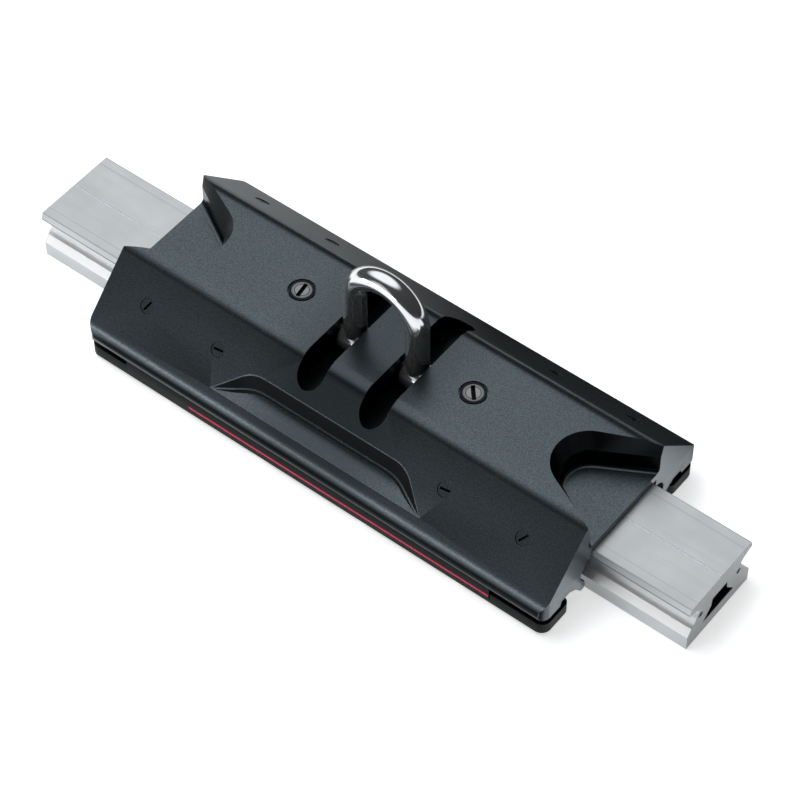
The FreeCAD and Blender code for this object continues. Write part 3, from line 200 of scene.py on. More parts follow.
class TravellerColours(bpy.types.PropertyGroup):
    """Colours of the finishes"""

    anodised: bpy.props.FloatVectorProperty(
        name="Black anodising",
        description="Colour of the machined block",
        default=(0.078, 0.095, 0.105), size=3, min=0, max=1, subtype="COLOR")
    aluminium: bpy.props.FloatVectorProperty(
        name="Track aluminium",
        description="Colour of the bare track",
        default=(0.62, 0.645, 0.66), size=3, min=0, max=1, subtype="COLOR")
    steel: bpy.props.FloatVectorProperty(
        name="Stainless steel",
        description="Colour of polished and plain stainless steel",
        default=(0.74, 0.755, 0.765), size=3, min=0, max=1, subtype="COLOR")
    cover: bpy.props.FloatVectorProperty(
        name="Cover black",
        description="Colour of the bars under the wings and of the plastic guides",
        default=(0.010, 0.013, 0.015), size=3, min=0, max=1, subtype="COLOR")
    line: bpy.props.FloatVectorProperty(
        name="Trim line",
        description="Colour of the thin line on the front trim strip",
        default=(1.0, 0.05, 0.14), size=3, min=0, max=1, subtype="COLOR")
    ball: bpy.props.FloatVectorProperty(
        name="Ball plastic",
        description="Colour of the bearing balls",
        default=(0.50, 0.36, 0.12), size=3, min=0, max=1, subtype="COLOR")
    floor: bpy.props.FloatVectorProperty(
        name="Floor",
        description="Colour of the studio floor",
        default=(0.86, 0.87, 0.88), size=3, min=0, max=1, subtype="COLOR")


def sizes():
    """Sizes that the user can change."""
    return bpy.context.scene.traveller_sizes


def colours():
    """Colours that the user can change."""
    return bpy.context.scene.traveller_colours


def tinted(colour, factor):
    """A colour made lighter or darker."""
    return tuple(min(1.0, part * factor) for part in colour)


def reach_of(node_name, axis):
    """Least and greatest place of a fixed node along an axis."""
    places = [vertex.co[axis] for vertex in frame["nodes"][node_name].data.vertices]
    return min(places), max(places)


# Shader nodes, which every finish is built from.


def feed(tree, socket, value):
    """Link a socket to the one given, or set it to the number given."""
    if isinstance(value, bpy.types.NodeSocket):
        tree.links.new(value, socket)
    else:
        socket.default_value = value


def math_node(tree, operation, first, second=None, third=None):
    """Math node whose inputs are sockets or numbers."""
    node = tree.nodes.new("ShaderNodeMath")
    node.operation = operation
    for socket, value in zip(node.inputs, (first, second, third)):
        if value is not None:
            feed(tree, socket, value)
    return node.outputs[0]


def above(tree, value, limit):
    """Mask that is 1 where a value is over a limit."""
    return math_node(tree, "GREATER_THAN", value, limit)


def below(tree, value, limit):
    """Mask that is 1 where a value is under a limit."""
    return math_node(tree, "LESS_THAN", value, limit)


def all_of(tree, *masks):
    """Product of several masks."""
    total = masks[0]
    for mask in masks[1:]:
        total = math_node(tree, "MULTIPLY", total, mask)
    return total


def within(tree, value, low, high):
    """Mask that is 1 where a value lies between two limits."""
    return all_of(tree, above(tree, value, low), below(tree, value, high))


def mapped(tree, value, start=0.0, end=1.0, low=0.0, high=1.0, smooth=False):
    """Value that goes from low to high while another goes from start to end."""
    node = tree.nodes.new("ShaderNodeMapRange")
    if smooth:
        node.interpolation_type = "SMOOTHSTEP"
    for title, given in (("From Min", start), ("From Max", end), ("To Min", low), ("To Max", high)):
        feed(tree, node.inputs[title], given)
    tree.links.new(value, node.inputs["Value"])
    return node.outputs["Result"]


def dot_with(tree, vector, direction):
    """How far a vector socket points along a fixed direction."""
    node = tree.nodes.new("ShaderNodeVectorMath")
    node.operation = "DOT_PRODUCT"
    node.inputs[1].default_value = direction
    tree.links.new(vector, node.inputs[0])
    return node.outputs["Value"]


def object_axes(tree):
    """Separate X, Y and Z of the object's own coordinates."""
    place = tree.nodes.new("ShaderNodeTexCoord")
    axes = tree.nodes.new("ShaderNodeSeparateXYZ")
    tree.links.new(place.outputs["Object"], axes.inputs[0])
    return axes.outputs


def noise(tree, vector, scale, detail):
    """Noise texture read at a place."""
    node = tree.nodes.new("ShaderNodeTexNoise")
    node.inputs["Detail"].default_value = detail
    tree.links.new(vector, node.inputs["Vector"])
    feed(tree, node.inputs["Scale"], scale)
    return node.outputs["Fac"]


def painted(tree, under, mask, over):
    """Colour laid over another where a mask says. The one under it may be a socket."""
    node = tree.nodes.new("ShaderNodeMix")
    node.data_type = "RGBA"
    if isinstance(under, bpy.types.NodeSocket):
        tree.links.new(under, node.inputs["A"])
    else:
        node.inputs["A"].default_value = (*under, 1.0)
    node.inputs["B"].default_value = (*over, 1.0)
    tree.links.new(mask, node.inputs["Factor"])
    return node.outputs["Result"]


def raised(tree, shader, height, strength, distance):
    """Bump from a height socket into the shader's normal."""
    bump = tree.nodes.new("ShaderNodeBump")
    bump.inputs["Strength"].default_value = strength
    bump.inputs["Distance"].default_value = distance
    tree.links.new(height, bump.inputs["Height"])
    tree.links.new(bump.outputs["Normal"], shader.inputs["Normal"])


# Shader node groups, each made the first time a finish asks for it.


def group_tree(name, inputs, outputs):
    """New shader node group with number sockets, and its input and output nodes."""
    tree = bpy.data.node_groups.new(name, "ShaderNodeTree")
    for title, value in inputs.items():
        socket = tree.interface.new_socket(name=title, in_out="INPUT", socket_type="NodeSocketFloat")
        socket.default_value = value
    for title in outputs:
        tree.interface.new_socket(name=title, in_out="OUTPUT", socket_type="NodeSocketFloat")
    return tree, tree.nodes.new("NodeGroupInput"), tree.nodes.new("NodeGroupOutput")


def place_group(tree, name, maker, **values):
    """Outputs of the named group, placed in a material with its own input values."""
    node = tree.nodes.new("ShaderNodeGroup")
    node.node_tree = bpy.data.node_groups.get(name) or maker(name)
    for title, value in values.items():
        node.inputs[title].default_value = value
    return node.outputs


def speckle_group(name):
    """Fine bright and dark grains of a blasted, anodised surface."""
    tree, given, out = group_tree(name, {"Grain": 900.0, "Cloud": 14.0}, ("Mask", "Cloud mask"))
    place = tree.nodes.new("ShaderNodeTexCoord").outputs["Object"]
    grain = noise(tree, place, given.outputs["Grain"], detail=2.0)
    cloud = noise(tree, place, given.outputs["Cloud"], detail=3.0)
    tree.links.new(mapped(tree, grain, start=0.32, end=0.70), out.inputs["Mask"])
    tree.links.new(cloud, out.inputs["Cloud mask"])
    return tree


def speckle(tree, grain, cloud):
    """Grains and clouds of the blasted surface, placed in a material."""
    return place_group(tree, "Anodised speckle", speckle_group, Grain=grain, Cloud=cloud)


def streak_group(name):
    """Long faint draw lines along X with soft mottling, as on an extrusion."""
    tree, given, out = group_tree(name, {"Stretch": 40.0, "Mottle": 60.0}, ("Streaks", "Mottle mask"))
    axes = object_axes(tree)
    stretched = tree.nodes.new("ShaderNodeCombineXYZ")
    tree.links.new(math_node(tree, "DIVIDE", axes["X"], given.outputs["Stretch"]), stretched.inputs["X"])
    tree.links.new(axes["Y"], stretched.inputs["Y"])
    tree.links.new(axes["Z"], stretched.inputs["Z"])
    lines = noise(tree, stretched.outputs[0], scale=900.0, detail=4.0)
    place = tree.nodes.new("ShaderNodeTexCoord").outputs["Object"]
    blotch = noise(tree, place, given.outputs["Mottle"], detail=4.0)
    tree.links.new(lines, out.inputs["Streaks"])
    tree.links.new(blotch, out.inputs["Mottle mask"])
    return tree


def streaks(tree, stretch, mottle):
    """Draw lines and mottling, placed in a material."""
    return place_group(tree, "Extrusion streaks", streak_group, Stretch=stretch, Mottle=mottle)


def slot_mask(tree, at, side, half, height, sunk):
    """Inside of the shackle slots, in the top and the slopes."""
    off = math_node(tree, "ABSOLUTE", math_node(tree, "SUBTRACT", side, at["Slot spacing"]))
    return all_of(
        tree, sunk, below(tree, height, at["Slot top"]),
        below(tree, off, at["Slot half width"]), below(tree, half, at["Slot reach"]))


def scoop_masks(tree, at, axes, side, sink, sunk, normal):
    """Steep walls of the scoop, and all of the scoop that lies as deep as its ledge."""
    steep = above(tree, dot_with(tree, normal, DOWN_SLOPE), WALL_LEAN)
    down = math_node(tree, "SUBTRACT", math_node(tree, "MULTIPLY", axes["Y"], -1.0), axes["Z"])
    area = all_of(
        tree, below(tree, axes["Y"], at["Scoop side"]), below(tree, side, at["Scoop half length"]))
    walls = all_of(tree, sunk, steep, below(tree, down, at["Scoop foot"]), area)
    ledge = all_of(tree, above(tree, sink, at["Ledge sink"]), area)
    return walls, ledge


def recess_masks(tree, at, height, side, half, normal, ends):
    """Walls of the end recesses, and the zone that holds their rims."""
    rise = tree.nodes.new("ShaderNodeSeparateXYZ")
    tree.links.new(normal, rise.inputs[0])
    zone = all_of(
        tree, above(tree, side, at["Recess start"]), below(tree, half, at["Recess half width"]))
    walls = all_of(
        tree, zone, below(tree, rise.outputs["Z"], WALL_RISE),
        above(tree, height, at["Recess wall foot"]), math_node(tree, "SUBTRACT", 1.0, ends))
    rims = all_of(tree, zone, above(tree, height, at["Recess rim foot"]))
    return walls, rims


def hollow_group(name):
    """Masks of the block's slots, scoop, recesses and ends, and of the shade round the bow."""
    tree, given, out = group_tree(
        name, {title: value * MM for title, value in BLOCK_PLACES.items()},
        ("Slots", "Walls", "Ledge", "Recess walls", "Recess rims", "Ends", "Shade"))
    at = given.outputs
    axes = object_axes(tree)
    normal = tree.nodes.new("ShaderNodeNewGeometry").outputs["True Normal"]
    side = math_node(tree, "ABSOLUTE", axes["X"])
    half = math_node(tree, "ABSOLUTE", axes["Y"])
    sink = math_node(tree, "SUBTRACT", at["Slope sum"], math_node(tree, "ADD", half, axes["Z"]))
    sunk = above(tree, sink, at["Least sink"])
    ends = above(tree, side, at["End start"])
    walls, ledge = scoop_masks(tree, at, axes, side, sink, sunk, normal)
    recess_walls, recess_rims = recess_masks(tree, at, axes["Z"], side, half, normal, ends)
    masks = {
        "Slots": slot_mask(tree, at, side, half, axes["Z"], sunk),
        "Walls": walls,
        "Ledge": ledge,
        "Recess walls": recess_walls,
        "Recess rims": recess_rims,
        "Ends": ends,
        "Shade": mapped(tree, side, start=at["Shade end"], end=at["Shade full"], smooth=True),
    }
    for title, mask in masks.items():
        tree.links.new(mask, out.inputs[title])
    return tree


# Finishes.


def new_material(name, **sockets):
    """Principled material with constants set on its own sockets."""
    material = bpy.data.materials.new(name)
    material.use_nodes = True
    shader = material.node_tree.nodes["Principled BSDF"]
    for title, value in sockets.items():
        shader.inputs[title.replace("_", " ")].default_value = value
    return material, shader


def block_tone(tree, shader, base, tone):
    """The block's tone place by place: painted shade in its hollows and round the bow, and a painted
    highlight on its broken edges, which are also less metallic.
    """
    masks = place_group(tree, "Block hollows", hollow_group)
    shade = math_node(tree, "MULTIPLY", masks["Shade"], SHADE_STRENGTH)
    tone = painted(tree, tone, shade, tinted(base, SHADE_TONE))
    # Painted shade in the scoop's walls, the recess walls and the slots; lighter ends.
    for title, factor in PLACE_TONES:
        tone = painted(tree, tone, masks[title], tinted(base, factor))
    edge_highlight_node = tree.nodes.new("ShaderNodeAttribute")
    edge_highlight_node.attribute_name = EDGE_ATTRIBUTE
    edge = edge_highlight_node.outputs["Fac"]
    # Painted highlight on the broken edges.
    tone = painted(tree, tone, edge, tinted(base, OPEN_EDGE_TONE))
    # On the ledge the edges go back to nearly the finish's tone; round the recesses they are painted
    # dark as a shade line.
    for title, factor in (("Ledge", LEDGE_EDGE_TONE), ("Recess rims", RECESS_EDGE_TONE)):
        tone = painted(tree, tone, all_of(tree, edge, masks[title]), tinted(base, factor))
    metal = math_node(tree, "MULTIPLY_ADD", edge, -EDGE_METAL_LOSS, BLOCK_METAL)
    tree.links.new(metal, shader.inputs["Metallic"])
    return tone


def anodised_material(name, factor=1.0, on_block=False):
    """Speckled black anodising. On the block its hollows, ends and edges differ."""
    base = tinted(colours().anodised, factor)
    material, shader = new_material(name, Metallic=BLOCK_METAL)
    tree = material.node_tree
    grains = speckle(tree, grain=1700.0, cloud=22.0)
    tone = painted(tree, tinted(base, 0.72), grains["Mask"], tinted(base, 1.32))
    if on_block:
        tone = block_tone(tree, shader, base, tone)
    tree.links.new(tone, shader.inputs["Base Color"])
    tree.links.new(mapped(tree, grains["Cloud mask"], low=0.25, high=0.34), shader.inputs["Roughness"])
    raised(tree, shader, grains["Mask"], strength=0.12, distance=0.04 * MM)
    return material


def plastic_material(name, base, smoothest, roughest, gloss=0.45):
    """Moulded plastic with a faint grain."""
    material, shader = new_material(name, Metallic=0.0, Specular_IOR_Level=gloss)
    tree = material.node_tree
    grains = speckle(tree, grain=1100.0, cloud=30.0)
    tone = painted(tree, tinted(base, 0.85), grains["Mask"], tinted(base, 1.25))
    tree.links.new(tone, shader.inputs["Base Color"])
    rough = mapped(tree, grains["Cloud mask"], low=smoothest, high=roughest)
    tree.links.new(rough, shader.inputs["Roughness"])
    return material


def aluminium_material():
    """Bare drawn aluminium of the track, with sawn ends and the bands of its section, most of them
    painted light and shade.
    """
    base = colours().aluminium
    material, shader = new_material("bare_aluminium", Metallic=0.45, Specular_IOR_Level=0.5)
    tree = material.node_tree
    drawn = streaks(tree, stretch=60.0, mottle=55.0)
    tone = painted(tree, tinted(base, 0.84), drawn["Mottle mask"], tinted(base, 1.14))
    axes = object_axes(tree)
    start, end = reach_of("track", 0)
    uncut = within(tree, axes["X"], start + SAWN_DEPTH, end - SAWN_DEPTH)
    tone = painted(tree, tone, math_node(tree, "SUBTRACT", 1.0, uncut), tinted(base, 0.62))
    between_ends = within(tree, axes["X"], start + BAND_STOP, end - BAND_STOP)
    side = math_node(tree, "ABSOLUTE", axes["Y"])
    # Painted shade in the bolt chamber and under the lip, painted light on the flank, and lines along
    # the top.
    for band in TRACK_BANDS:
        mask = all_of(
            tree, between_ends, within(tree, side, band.inner * MM, band.outer * MM),
            within(tree, axes["Z"], band.low * MM, band.high * MM))
        tone = painted(tree, tone, mask, tinted(base, band.tone))
    tree.links.new(tone, shader.inputs["Base Color"])
    tree.links.new(mapped(tree, drawn["Streaks"], low=0.30, high=0.52), shader.inputs["Roughness"])
    raised(tree, shader, drawn["Streaks"], strength=0.10, distance=0.06 * MM)
    return material


def steel_material(name, colour, smoothest, roughest, metal=1.0):
    """Stainless steel with a faint mottle."""
    material, shader = new_material(name, Metallic=metal)
    tree = material.node_tree
    mottle = streaks(tree, stretch=12.0, mottle=160.0)["Mottle mask"]
    tone = painted(tree, tinted(colour, 0.95), mottle, tinted(colour, 1.04))
    tree.links.new(tone, shader.inputs["Base Color"])
    tree.links.new(mapped(tree, mottle, low=smoothest, high=roughest), shader.inputs["Roughness"])
    return material


def strip_material(name, lined):
    """Dull black strip, on the front one with a thin line over a darker foot."""
    base = colours().cover
    material, shader = new_material(name, Metallic=0.0, Specular_IOR_Level=0.2, Roughness=0.42)
    tree = material.node_tree
    if lined:
        axes = object_axes(tree)
        height = within(tree, axes["Z"], LINE_LOW, LINE_HIGH)
        line = all_of(tree, height, within(tree, axes["X"], LINE_LEFT, LINE_RIGHT))
        tone = painted(tree, base, line, colours().line)
        tone = painted(tree, tone, below(tree, axes["Z"], STRIP_FOOT), tinted(base, 0.15))
    else:
        grains = speckle(tree, grain=900.0, cloud=20.0)
        tone = painted(tree, tinted(base, 0.9), grains["Mask"], tinted(base, 1.2))
    tree.links.new(tone, shader.inputs["Base Color"])
    return material


def overlaid(material, mask, colour):
    """Lay a plain colour over a finish that is already made."""
    tree = material.node_tree
    socket = tree.nodes["Principled BSDF"].inputs["Base Color"]
    tree.links.new(painted(tree, socket.links[0].from_socket, mask, colour), socket)
    return material


def dark_slots(material, limit, on_slope):
    """Paint a screw black below a level, as the shade in its slot. The level is a height or, on a slope,
    a sum.
    """
    tree = material.node_tree
    axes = object_axes(tree)
    level = axes["Z"]
    if on_slope:
        level = math_node(tree, "ADD", math_node(tree, "ABSOLUTE", axes["Y"]), level)
    return overlaid(material, below(tree, level, limit), SLOT_SHADE)


def ringed(material, inner, outer, colour):
    """Lay a plain ring round the axis of each large screw over a finish."""
    tree = material.node_tree
    axes = object_axes(tree)
    along = math_node(tree, "SUBTRACT", math_node(tree, "ABSOLUTE", axes["X"]), KEEPER_SCREW_PLACE)
    across = math_node(tree, "MULTIPLY", axes["Y"], axes["Y"])
    radius = math_node(tree, "SQRT", math_node(tree, "MULTIPLY_ADD", along, along, across))
    return overlaid(material, within(tree, radius, inner, outer), colour)


# Meshes and pieces.


def coat(mesh, material):
    """Leave a mesh with one finish."""
    mesh.materials.clear()
    mesh.materials.append(material)


def dress(node_name, material):
    """Give a fixed node its finish."""
    coat(frame["nodes"][node_name].data, material)


def finished(obj, body, slot, *nodes):
    """Let a piece ride its body and stand for the fixed nodes it replaces."""
    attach(obj, body)
    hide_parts(*nodes)


def link_mesh(name, mesh):
    """New object in the scene that shows a mesh."""
    obj = bpy.data.objects.new(name, mesh)
    bpy.context.scene.collection.objects.link(obj)
    return obj


def smooth_by_angle(mesh, degrees):
    """Smooth faces whose shared edge is flatter than an angle, and keep the rest crisp."""
    for polygon in mesh.polygons:
        polygon.use_smooth = True
    limit = math.radians(degrees)
    work = bmesh.new()
    work.from_mesh(mesh)
    for edge in work.edges:
        edge.smooth = len(edge.link_faces) == 2 and edge.calc_face_angle(0.0) < limit
    work.to_mesh(mesh)
    work.free()


def merged_copy(node_name):
    """Mesh of a fixed node with its loose triangles joined up."""
    work = bmesh.new()
    work.from_mesh(frame["nodes"][node_name].data)
    bmesh.ops.remove_doubles(work, verts=work.verts, dist=MERGE_GAP)
    bmesh.ops.dissolve_degenerate(work, edges=work.edges, dist=MERGE_GAP)
    mesh = bpy.data.meshes.new(node_name + "_joined")
    work.to_mesh(mesh)
    work.free()
    return mesh


def flatten(obj):
    """Bake an object's modifiers into its mesh."""
    depsgraph = bpy.context.evaluated_depsgraph_get()
    mesh = bpy.data.meshes.new_from_object(obj.evaluated_get(depsgraph), depsgraph=depsgraph)
    obj.modifiers.clear()
    obj.data = mesh


def break_edges(obj):
    """Round the sharp edges a little. The new faces go to the second finish slot."""
    bevel = obj.modifiers.new("edge_break", "BEVEL")
    bevel.width = sizes().edge_break
    bevel.segments = 2
    bevel.limit_method = "ANGLE"
    bevel.angle_limit = math.radians(BLOCK_CREASE)
    bevel.miter_outer = "MITER_ARC"
    bevel.harden_normals = True
    bevel.material = EDGE_SLOT
    flatten(obj)


def mark_edges(mesh):
    """Keep which faces lie on the broken edges as an attribute, and leave one finish slot."""
    edge = mesh.attributes.new(EDGE_ATTRIBUTE, "FLOAT", "FACE")
    for polygon in mesh.polygons:
        edge.data[polygon.index].value = float(polygon.material_index)
        polygon.material_index = 0
    mesh.materials.pop(index=EDGE_SLOT)


class TRAVELLER_OT_track(bpy.types.Operator):
    """Give the track its drawn aluminium finish"""
    bl_idname = "traveller.track"
    bl_label = "Track"

    def execute(self, context):
        dress("track", aluminium_material())
        return {"FINISHED"}


class TRAVELLER_OT_block(bpy.types.Operator):
    """Make the car's block with lightly broken edges and a speckled black finish"""
    bl_idname = "traveller.block"
    bl_label = "Car block"

    def execute(self, context):
        material = anodised_material("black_anodising", on_block=True)
        dress("car_body", material)
        obj = link_mesh("block", merged_copy("car_body"))
        coat(obj.data, material)
        obj.data.materials.append(material)
        smooth_by_angle(obj.data, BLOCK_CREASE)
        break_edges(obj)
        mark_edges(obj.data)
        finished(obj, "car", "body_anodised", "car_body")
        return {"FINISHED"}


def path_nodes(tree, given):
    """Curve of the bow: up one leg, round the bend and down the other."""
    nodes, links = tree.nodes, tree.links

    def calc(operation, first, second=None, third=None):
        return math_node(tree, operation, first, second, third)

    line = nodes.new("GeometryNodeCurvePrimitiveLine")
    resample = nodes.new("GeometryNodeResampleCurve")
    links.new(line.outputs["Curve"], resample.inputs["Curve"])
    links.new(given.outputs["Steps"], resample.inputs["Count"])
    along = nodes.new("GeometryNodeSplineParameter")
    radius = given.outputs["Bend radius"]
    leg = given.outputs["Leg length"]
    bend = calc("MULTIPLY", radius, math.pi)
    total = calc("MULTIPLY_ADD", leg, 2.0, bend)
    travelled = calc("MULTIPLY", along.outputs["Factor"], total)
    past_leg = calc("SUBTRACT", travelled, leg)
    angle = calc("MINIMUM", calc("MAXIMUM", calc("DIVIDE", past_leg, radius), 0.0), math.pi)
    climbed = calc("MINIMUM", travelled, leg)
    descended = calc("MAXIMUM", calc("SUBTRACT", past_leg, bend), 0.0)
    side = calc("MULTIPLY", calc("MULTIPLY", radius, calc("COSINE", angle)), -1.0)
    risen = calc("MULTIPLY_ADD", radius, calc("SINE", angle), climbed)
    height = calc("ADD", calc("SUBTRACT", risen, descended), given.outputs["Axle height"])
    point = nodes.new("ShaderNodeCombineXYZ")
    links.new(side, point.inputs["X"])
    links.new(height, point.inputs["Z"])
    put = nodes.new("GeometryNodeSetPosition")
    links.new(resample.outputs["Curve"], put.inputs["Geometry"])
    links.new(point.outputs[0], put.inputs["Position"])
    return put.outputs["Geometry"]


def bow_tree(material, values):
    """Geometry nodes that sweep a round bar along the bow's path."""
    tree = bpy.data.node_groups.new("Bow sweep", "GeometryNodeTree")
    face = tree.interface
    face.new_socket(name="Geometry", in_out="OUTPUT", socket_type="NodeSocketGeometry")
    for title, kind, value in (
            ("Bend radius", "NodeSocketFloat", values.bow_radius),
            ("Leg length", "NodeSocketFloat", values.leg_length),
            ("Axle height", "NodeSocketFloat", values.axle_height),
            ("Bar radius", "NodeSocketFloat", values.bar_radius),
            ("Steps", "NodeSocketInt", BOW_STEPS),
            ("Around", "NodeSocketInt", BAR_STEPS)):
        face.new_socket(name=title, in_out="INPUT", socket_type=kind).default_value = value
    nodes, links = tree.nodes, tree.links
    given = nodes.new("NodeGroupInput")
    out = nodes.new("NodeGroupOutput")
    ring = nodes.new("GeometryNodeCurvePrimitiveCircle")
    links.new(given.outputs["Around"], ring.inputs["Resolution"])
    links.new(given.outputs["Bar radius"], ring.inputs["Radius"])
    sweep = nodes.new("GeometryNodeCurveToMesh")
    sweep.inputs["Fill Caps"].default_value = True
    links.new(path_nodes(tree, given), sweep.inputs["Curve"])
    links.new(ring.outputs["Curve"], sweep.inputs["Profile Curve"])
    real = nodes.new("GeometryNodeRealizeInstances")
    links.new(sweep.outputs["Mesh"], real.inputs["Geometry"])
    paint = nodes.new("GeometryNodeSetMaterial")
    paint.inputs["Material"].default_value = material
    links.new(real.outputs["Geometry"], paint.inputs["Geometry"])
    links.new(paint.outputs["Geometry"], out.inputs["Geometry"])
    return tree


def set_inputs(modifier, **values):
    """Set a tree's named inputs by their sockets' identifiers."""
    wanted = {title.replace("_", " "): value for title, value in values.items()}
    for item in modifier.node_group.interface.items_tree:
        if item.item_type == "SOCKET" and item.in_out == "INPUT" and item.name in wanted:
            modifier[item.identifier] = wanted.pop(item.name)
    if wanted:
        raise ValueError("no input named " + ", ".join(wanted))


def eye_profile(width, outer, bore):
    """Half section of an eye: distance from the axle and place along it."""
    half = width / 2
    chamfer = EYE_ROUNDING * BORE_CHAMFER_SHARE
    points = [(bore, chamfer - half), (bore + chamfer, -half)]
    for step in range(EYE_ROUNDING_STEPS + 1):
        angle = math.pi / 2 * step / EYE_ROUNDING_STEPS
        out = outer - EYE_ROUNDING + EYE_ROUNDING * math.sin(angle)
        points.append((out, -half + EYE_ROUNDING - EYE_ROUNDING * math.cos(angle)))
    mirrored = [(radius, -place) for radius, place in reversed(points)]
    return points + mirrored


def lathe_eye(work, centre_x, height, profile):
    """Turn a closed half section about the axle."""
    rings = []
    for step in range(EYE_STEPS):
        angle = 2 * math.pi * step / EYE_STEPS
        back, up = math.sin(angle), math.cos(angle)
        rings.append([
            work.verts.new((centre_x + place, radius * back, height + radius * up))
            for radius, place in profile])
    count = len(profile)
    for step in range(EYE_STEPS):
        here, there = rings[step], rings[(step + 1) % EYE_STEPS]
        for index in range(count):
            after = (index + 1) % count
            work.faces.new((here[index], here[after], there[after], there[index]))


def add_eyes(mesh, values):
    """Add an eye to the foot of each leg, and turn all faces outwards."""
    work = bmesh.new()
    work.from_mesh(mesh)
    profile = eye_profile(values.eye_width, values.eye_radius, values.eye_bore)
    for hand in (-1, 1):
        lathe_eye(work, hand * values.bow_radius, values.axle_height, profile)
    bmesh.ops.recalc_face_normals(work, faces=work.faces)
    work.to_mesh(mesh)
    work.free()


class TRAVELLER_OT_bow(bpy.types.Operator):
    """Sweep the polished bow along its path and turn its two eyes"""
    bl_idname = "traveller.bow"
    bl_label = "Bow"

    def execute(self, context):
        values = sizes()
        material = steel_material(
            "polished_stainless", colours().steel, smoothest=0.09, roughest=0.15, metal=0.92)
        dress("shackle", material)
        obj = link_mesh("bow_bar", bpy.data.meshes.new("bow_bar"))
        modifier = obj.modifiers.new("sweep", "NODES")
        modifier.node_group = bow_tree(material, values)
        set_inputs(
            modifier, Bend_radius=values.bow_radius, Leg_length=values.leg_length,
            Axle_height=values.axle_height, Bar_radius=values.bar_radius,
            Steps=BOW_STEPS, Around=BAR_STEPS)
        flatten(obj)
        add_eyes(obj.data, values)
        coat(obj.data, material)
        smooth_by_angle(obj.data, BOW_CREASE)
        finished(obj, "bow", "polished_steel", "shackle")
        return {"FINISHED"}


class TRAVELLER_OT_shackle_gear(bpy.types.Operator):
    """Finish the axle, its keeper, the large screws and their cups"""
    bl_idname = "traveller.shackle_gear"
    bl_label = "Shackle gear"

    def execute(self, context):
        steel = colours().steel
        dress("shackle_axle", steel_material(
            "plain_stainless", tinted(steel, 0.8), smoothest=0.2, roughest=0.34))
        dress("axle_keeper", plastic_material(
            "keeper_black", colours().cover, smoothest=0.45, roughest=0.6))
        heads = steel_material("grey_screw_steel", tinted(steel, 0.3), smoothest=0.22, roughest=0.36)
        heads = ringed(heads, inner=3.05 * MM, outer=3.4 * MM, colour=(0.01, 0.012, 0.014))
        dress("keeper_screws", dark_slots(heads, KEEPER_SLOT_TOP, on_slope=False))
        cups = anodised_material("cup_anodising", factor=0.12)
        dress("screw_cups", ringed(cups, inner=3.9 * MM, outer=4.45 * MM, colour=tinted(steel, 0.2)))
        return {"FINISHED"}


class TRAVELLER_OT_slope_screws(bpy.types.Operator):
    """Finish the flush screws of both slopes"""
    bl_idname = "traveller.slope_screws"
    bl_label = "Slope screws"

    def execute(self, context):
        material = anodised_material("screw_anodising", factor=0.9)
        dark_slots(material, SLOPE_SLOT_TOP, on_slope=True)
        for side in SIDES:
            dress("race_screws_" + side, material)
        return {"FINISHED"}


class TRAVELLER_OT_races(bpy.types.Operator):
    """Finish the race inserts, return guides and balls"""
    bl_idname = "traveller.races"
    bl_label = "Races and balls"

    def execute(self, context):
        race = steel_material("race_steel", tinted(colours().steel, 0.75), smoothest=0.18, roughest=0.3)
        guide = plastic_material("guide_black", colours().cover, smoothest=0.45, roughest=0.6)
        ball = plastic_material("ball_plastic", colours().ball, smoothest=0.25, roughest=0.35)
        for side in SIDES:
            dress("race_insert_" + side, race)
            for hand in ("left", "right"):
                dress("return_guide_%s_%s" % (side, hand), guide)
            for run in ("load", "return"):
                dress("%s_balls_%s" % (run, side), ball)
        return {"FINISHED"}


class TRAVELLER_OT_covers(bpy.types.Operator):
    """Finish the covers under the wings and their screws"""
    bl_idname = "traveller.covers"
    bl_label = "Covers"

    def execute(self, context):
        material = plastic_material(
            "cover_black", tinted(colours().cover, 0.4), smoothest=0.45, roughest=0.6, gloss=0.2)
        screws = steel_material(
            "cover_screw_steel", tinted(colours().steel, 0.7), smoothest=0.25, roughest=0.4)
        for side in SIDES:
            dress("cover_" + side, material)
            dress("cover_screws_" + side, screws)
        return {"FINISHED"}


class TRAVELLER_OT_trim(bpy.types.Operator):
    """Finish the trim strips, with a thin line on the front one"""
    bl_idname = "traveller.trim"
    bl_label = "Trim strips"

    def execute(self, context):
        dress("trim_strip_front", strip_material("strip_lined", lined=True))
        dress("trim_strip_back", strip_material("strip_plain", lined=False))
        return {"FINISHED"}


# Stage.


def lobe(tree, aim, edge, core, level):
    """Soft round light of the sky: its level, by how near a direction lies to its aim."""
    direction = tree.nodes.new("ShaderNodeTexCoord").outputs["Generated"]
    facing = dot_with(tree, direction, Vector(aim).normalized())
    return mapped(tree, facing, start=edge, end=core, high=level, smooth=True)


def studio_world():
    """A bright screen overhead, a low card in front and a dim room round them."""
    world = bpy.data.worlds.new("studio")
    bpy.context.scene.world = world
    world.use_nodes = True
    tree = world.node_tree
    screen = lobe(tree, aim=(-0.397, 0.16, 0.90), edge=0.72, core=0.90, level=1.3)
    card = lobe(tree, aim=(-0.397, -0.90, 0.18), edge=0.91, core=0.995, level=0.75)
    shade = tree.nodes["Background"]
    shade.inputs["Color"].default_value = (0.97, 0.985, 1.0, 1.0)
    light = math_node(tree, "ADD", screen, card)
    tree.links.new(math_node(tree, "ADD", light, ROOM_LEVEL), shade.inputs["Strength"])


